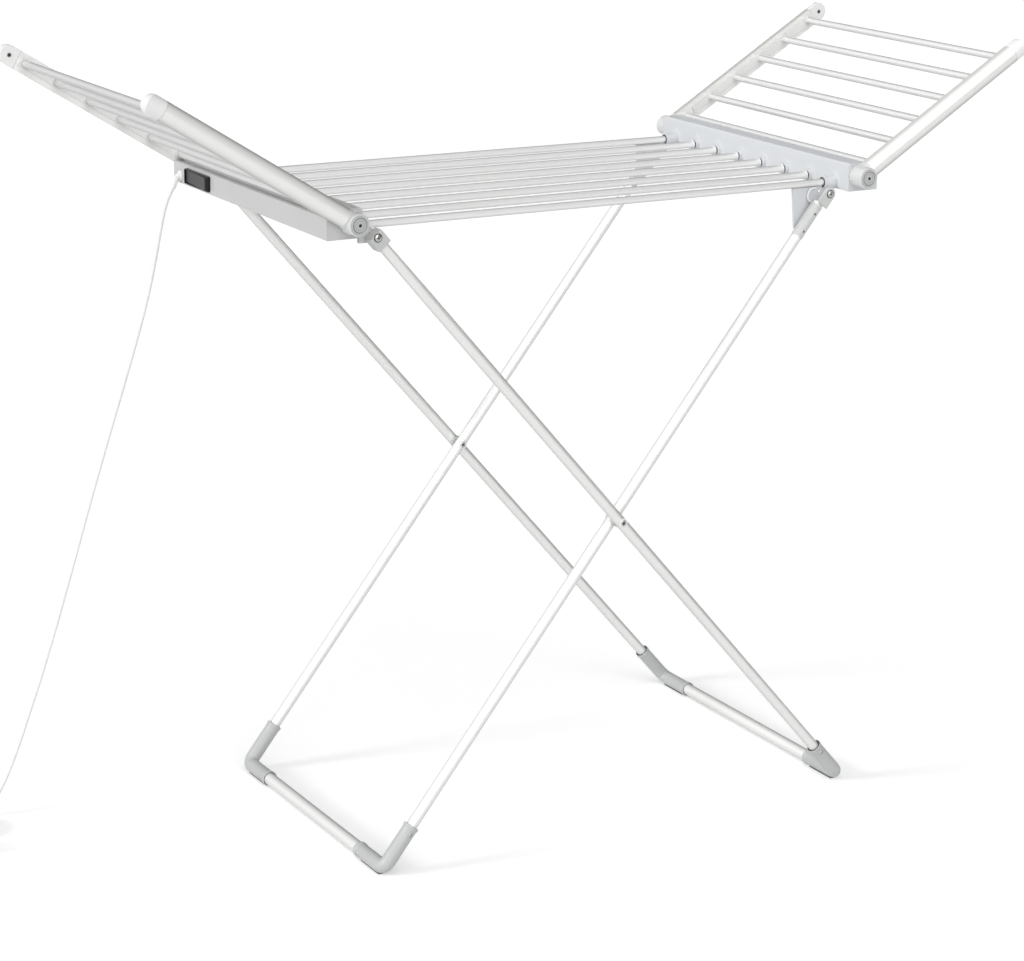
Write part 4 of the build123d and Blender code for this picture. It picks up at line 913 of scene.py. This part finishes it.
control_rods = [(-1, y) for y in ROD_PLACES]
end_rods = [(1, y) for y in ROD_PLACES[1:-1]]
bosses = on_rods(boss_profile, control_rods)
skin("control_side_bosses", bosses, housing_grey, "top_frame", ["rod_bushes"])
bosses = on_rods(boss_profile, end_rods)
skin("end_side_bosses", bosses, housing_blue, "top_frame")
# The outermost rods enter the long bosses of the catch brackets through a mouth, where a
# thin black ring is painted shade.
MOUTH_X = 0.371
ring = [(0, ROD_RADIUS - 0.0001), (0, 0.0074), (0.0004, 0.0072), (0.0004, ROD_RADIUS - 0.0001)]
outermost = (ROD_PLACES[0], ROD_PLACES[-1])
mouths = [(turned(ring, (MOUTH_X, y, ROD_Z), (-1, 0, 0)), True, 0.0) for y in outermost]
skin("boss_mouth_shade_rings", mouths, painted_shade_black, "top_frame")
collars = on_rods(collar_profile, control_rods + end_rods, collar_gap_shade)
skin("rod_collars", collars, collar_white, "top_frame")

# %% [markdown]
# ## Arches round the bosses
# The inner face of a housing isn't plain: a low arch rises round every boss and gives the top
# edge its gentle scallops. The face is a height field, raised where a point is nearer to a rod
# than the arch's radius, with a smooth step at its rim.


# %% A face with arches
def arched_face(sign):
    """Grid over the inner face: x stands out by 1 mm inside each arch, where an arch is all
    points within about 14 mm of a rod's axis or of the line straight below it. Its outermost
    ring is sunk in the wall, so that the face closes against it."""
    y = np.linspace(-0.2355, 0.2355, 640)
    z = np.linspace(0.9175, 0.9495, 44)
    yy, zz = np.meshgrid(y, z)
    rods = np.array(ROD_PLACES)[:, None, None]
    away = np.hypot(yy - rods, np.maximum(zz - ROD_Z, 0)).min(axis=0)
    step = np.clip((0.0162 - away) / 0.0055, 0, 1)
    stand = 0.0001 + 0.0010 * step**2 * (3 - 2 * step)
    edge = np.minimum.reduce([yy - y[0], y[-1] - yy, zz - z[0], z[-1] - zz])
    stand = stand * np.clip(edge / 0.0012, 0, 1) - 0.0006 * (edge <= 0)
    x = sign * (HOUSING_FACE - stand)
    front = np.stack([x, yy, zz], axis=-1)
    back = front.copy()
    back[..., 0] = sign * (HOUSING_FACE + 0.0006)
    return front, back


for name, sign, material in (("control_side", -1, housing_grey), ("end_side", 1, housing_blue)):
    front, back = arched_face(sign)
    # Front and back are read as one band of columns: up the front, then down the back.
    band = np.concatenate([front, back[::-1]], axis=0).transpose(1, 0, 2)
    skin(name + "_arches", [(band, False, 0.0)], material, "top_frame")

# %% [markdown]
# ## Sleeves on the inner legs
# The inner legs wear a grey sleeve just below the catch that holds them. The sleeve is a turned
# shape with a rolled collar at its top and two tiny fixing screws.

# %% Leg sleeves
SLEEVE_START = 0.022
SLEEVE_END = 0.0760
SLEEVE_BORE = LEG_TUBE - 0.0002
collar = [(SLEEVE_START, SLEEVE_BORE), (SLEEVE_START, 0.0091), (0.0250, 0.0091), (0.0258, 0.0087)]
hem = [(0.0745, 0.0087), (SLEEVE_END, 0.0084), (SLEEVE_END, SLEEVE_BORE)]
sleeve_profile = eased(collar + hem, 0.0006)
sleeves = both_sides([(turned(sleeve_profile, INNER_TOP, INNER_DOWN), True, 0.0)])
sleeve_body = body_of_node["inner_leg_sleeves"]
skin("leg_sleeves", sleeves, sleeve_grey, sleeve_body, ["inner_leg_sleeves"])
on_face = Vector((0, -0.0085, 0))
tiny = [
    screw(INNER_TOP + INNER_DOWN * along + on_face, (0, -1, 0), 0.0017, 0.0006, 0.0008, 0.001)
    for along in (0.036, 0.066)
]
skin("sleeve_screws", both_sides(tiny), dark_zinc, sleeve_body)

# %% [markdown]
# ## Pivot and catch screws
# The outer legs turn on a screw through a square block, and a rounded plate holds the inner
# legs. Each screw sits on a thin black ring, painted shade that reads as the dark ring round its
# head.

# %% Screws with rings of painted shade
screw_low, screw_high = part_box("pivot_screws")
BLOCK_FACE = 0.246
plate_low, plate_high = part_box("hook_plates")
plate_face = -plate_low[1]
print("outermost screw head at", round(-screw_low[1], 4), "plate face at", round(plate_face, 4))
shade_ring_profile = eased([(-0.0002, 0), (-0.0002, 0.0060), (0.0005, 0.0060), (0.0005, 0)], 0.0002)
screws, washers_and_shade_rings = [], []
for centre, face in ((OUTER_TOP, BLOCK_FACE), (INNER_TOP, plate_face)):
    seat = at_side(centre, -(face + 0.0004))
    screws.append(screw(seat, (0, -1, 0), 0.0048, 0.0019, 0.0024, 0.012))
    washers_and_shade_rings.append((turned(shade_ring_profile, at_side(centre, -face), (0, -1, 0)), False, 0.0))
body = body_of_node["pivot_screws"]
name = "pivot_and_catch_screws"
skin(name, both_sides(screws), screw_zinc, body, ["pivot_screws"])
skin("screw_shade_rings", both_sides(washers_and_shade_rings), painted_shade_black, body)

# %% [markdown]
# ## Tip screws
# A tiny sunk screw holds each tip cap, seen as a dark dot on the flat inner side; the dot is
# painted shade in the screw's sunk middle.

# %% Sunk screws in the tip caps
WING_RAISE = math.radians(31.4)
TIP_REACH = 0.323
RAIL_FACE = 0.2375


def on_wing(sign, along, y):
    """The point of a raised wing that is a distance along it from its hinge axis."""
    x = sign * (HINGE_X + along * math.cos(WING_RAISE))
    return np.array([x, y, HINGE_Z + along * math.sin(WING_RAISE)])


rim = [(-0.001, 0), (-0.001, 0.0033), (0.0006, 0.0033), (0.0009, 0.0027)]
cup_profile = eased(rim + [(0.0002, 0.0024), (0.0002, 0)], 0.0001)
# Painted shade: the last rings of the cup, its sunk middle, go dark.
dark = (np.arange(len(cup_profile)) > len(cup_profile) - 6)[:, None] * 1.0
for wing, sign in WINGS:
    cup = turned(cup_profile, on_wing(sign, TIP_REACH, -RAIL_FACE), (0, 1, 0), 32)
    sheets = both_sides([(cup, False, dark)])
    skin(wing + "_tip_screws", sheets, cap_disc_grey, wing)

# %% [markdown]
# ## Seams between rails and tip caps
# Each tip cap is a separate moulding pushed into its rail, and the joint shows as a fine dark
# line. A narrow band of the rail's own D-shaped outline, a little smaller than the rail, sits at
# the bottom of that groove, painted dark grey as the shade in it.


# %% D-shaped bands
RAIL_ROUND = 0.0135
RAIL_FLAT = 0.0055
TIP_CAP = 0.0135


def rail_band(sign, along, half_width, sink):
    """The D outline seen from a point inside it: 13.5 mm away on the round side, and on the flat
    side as far as a box reaches along each ray. Sunk by a constant and drawn out along the wing."""
    up = np.array([-sign * math.sin(WING_RAISE), 0.0, math.cos(WING_RAISE)])
    angle = np.linspace(-math.pi, math.pi, 120, endpoint=False)
    c, s = np.cos(angle), np.sin(angle)
    across = RAIL_FLAT / np.maximum(-c, 1e-6)
    upright = RAIL_ROUND / np.maximum(np.abs(s), 1e-6)
    reach = np.where(c > 0, RAIL_ROUND, np.minimum(across, upright)) - sink
    inner = reach - 0.0010
    rows = [(-half_width, inner), (-half_width, reach), (half_width, reach), (half_width, inner)]
    ring = c[:, None] * np.array([0.0, -1.0, 0.0]) + s[:, None] * up
    middle = -RAIL_FACE - RAIL_FLAT
    return np.stack([on_wing(sign, along + shift, middle) + r[:, None] * ring for shift, r in rows])


for wing, sign in WINGS:
    band = rail_band(sign, TIP_REACH - TIP_CAP, 0.0008, 0.0003)
    sheets = both_sides([(band, True, 0.0)])
    skin(wing + "_tip_seams", sheets, painted_seam_shade, wing)

# %% [markdown]
# ## Wire clips at the catches
# Beside each catch plate a white wire clip springs over the end of the inner leg. It is one round
# wire bent to an open ring, so it is a small circle carried along a larger one.


# %% Bent wire clips
def bent_wire(centre, ring, wire, start, stop, columns=20, rows=48):
    """A point on the wire's surface is the centre, plus (ring + wire cos v) along the ray at
    angle u in the XZ plane, plus wire sin v across the airer. Both ends shrink to a point."""
    u = np.linspace(start, stop, rows)[:, None]
    v = np.linspace(0, 2 * math.pi, columns, endpoint=False)[None, :]
    close = np.ones((rows, 1))
    close[[0, -1]] = 0.0
    out = ring + wire * close * np.cos(v)
    x = centre[0] + out * np.cos(u)
    y = centre[1] + wire * close * np.sin(v) * np.ones_like(u)
    z = centre[2] + out * np.sin(u)
    return np.stack([x, y, z], axis=-1)


clip_centre = INNER_TOP + Vector((-0.0125, 0.0102, -0.0045))
clip = bent_wire(clip_centre, 0.0105, 0.0014, math.radians(62), math.radians(300))
clips = both_sides([(clip, False, 0.0)])
skin("catch_clips", clips, lead_white, body_of_node["hook_plates"])

# %% [markdown]
# ## Strain relief
# Where the lead leaves the housing, a soft ribbed boot keeps it from bending sharply. The boot is
# a ring carried along a short curve that starts square to the housing and ends in the lead's own
# direction, and its ribs are dips in the ring's radius.


# %% Ribbed boot
def boot_grid(columns=40, rows=90):
    """Middle line: the cubic (1-t)^3 A + 3t(1-t)^2 B + 3t^2(1-t) C + t^3 D. Radius: 4.8 mm
    narrowing to 3.8 mm, less 0.4 mm in each of six grooves."""
    start, end = np.array([-0.4435, GLAND.y, GLAND.z]), np.array(LEAD_EXIT)
    a, b = start, start + np.array([-0.009, 0, 0])
    c, d = end - np.array(BOOT_WAY) * 0.010, end
    t = np.linspace(0, 1, rows)[:, None]
    line = (1 - t) ** 3 * a + 3 * t * (1 - t) ** 2 * b + 3 * t**2 * (1 - t) * c + t**3 * d
    way = 3 * (1 - t) ** 2 * (b - a) + 6 * t * (1 - t) * (c - b) + 3 * t**2 * (d - c)
    way = way / np.linalg.norm(way, axis=1)[:, None]
    across = np.array([0.0, 1.0, 0.0])
    up = np.cross(way, across)
    share = t[:, 0]
    wave = np.clip(np.cos(2 * math.pi * 6 * (share - 0.28)) * 3 - 1.2, 0, 1)
    groove = wave * ((share > 0.3) & (share < 0.93))
    radius = 0.0048 - 0.0010 * share - 0.0004 * groove
    # The ring closes at the start, rolls in at the end and goes back inside round the lead.
    radius = np.concatenate([[0.0], radius, [0.0036, 0.0032, 0.00295, 0.00295, 0.0]])
    station = np.concatenate([[0], np.arange(rows), [rows - 1] * 3, [rows - 8] * 2])
    angle = np.linspace(0, 2 * math.pi, columns, endpoint=False)[None, :, None]
    ring = np.cos(angle) * across + np.sin(angle) * up[station][:, None]
    return line[station][:, None] + radius[:, None, None] * ring


rim = [(-0.0006, 0), (-0.0006, 0.0075), (0.0022, 0.0072), (0.0030, 0.0060), (0.0030, 0)]
flange = turned(eased(rim, 0.0006), (-0.444, GLAND.y, GLAND.z), (-1, 0, 0))
sheets = [(boot_grid(), False, 0.0), (flange, False, 0.0)]
boot = skin("strain_relief", sheets, lead_white, "top_frame", ["cord_gland"])

# %% [markdown]
# ## Plug
# The plug lies on its back beside the coil. Its body is a rounded block whose outline is a
# superellipse, a shape between an ellipse and a rectangle, which gives the fat soft corners of a
# moulded plug. Finger grips are shallow waves on its two long sides.


# %% Plug body
PLUG_X = -0.8398
PLUG_HALF = 0.0098


def plug_grid(columns=96, rows=48):
    """Superellipsoid: x = a C(v) C(u), y = b C(v) S(u), z = c S(v), where C and S are cosine and
    sine with their size raised to 0.35, and a dips by waves along the two long sides."""

    def power(value, exponent):
        return np.sign(value) * np.abs(value) ** exponent

    u = np.linspace(0, 2 * math.pi, columns, endpoint=False)[None, :]
    v = np.linspace(-math.pi / 2, math.pi / 2, rows)[:, None]
    flat = power(np.cos(v), 0.35)
    x = 0.023 * flat * power(np.cos(u), 0.35)
    y = 0.021 * flat * power(np.sin(u), 0.42)
    z = PLUG_HALF * power(np.sin(v), 0.45) * np.ones_like(u)
    side = np.clip((np.abs(x) - 0.018) / 0.004, 0, 1) * np.clip((0.013 - np.abs(y)) / 0.004, 0, 1)
    x = x * (1 - 0.035 * side * (0.5 + 0.5 * np.cos(2 * math.pi * y / 0.0042)))
    return np.stack([x + PLUG_X, y + 0.137, z + PLUG_HALF], axis=-1)


def grip_rings(along, angle):
    """Grooves 0.4 mm deep round the collar, one every 3.1 mm."""
    wave = np.clip(np.cos(2 * math.pi * along / 0.0031) * 3 - 1, 0, 1)
    return -0.0004 * wave * (along > 0.003) * (along < 0.0155) * np.ones_like(angle)


cone = [(-0.003, 0), (-0.003, 0.0068), (0.004, 0.0066), (0.0165, 0.0046)]
mouth = [(0.0165, 0.0030), (0.012, 0.0030), (0.012, 0)]
collar = turned(eased(cone + mouth, 0.0008), (PLUG_X, 0.158, PLUG_HALF), (0, 1, 0), 40, grip_rings)
sheets = [(plug_grid(), False, 0.0), (collar, False, 0.0)]
body = body_of_node["plug_body"]
plug = skin("mains_plug", sheets, plug_white, body, ["plug_body"])
pins = softened("plug_pins", 0.0005, pin_brass)

# %% [markdown]
# ## The lead's finish
# The lead gets the white of its boot.

lead_curve.materials.append(lead_white)
print("lead declared with", plug.name, pins.name, boot.name)
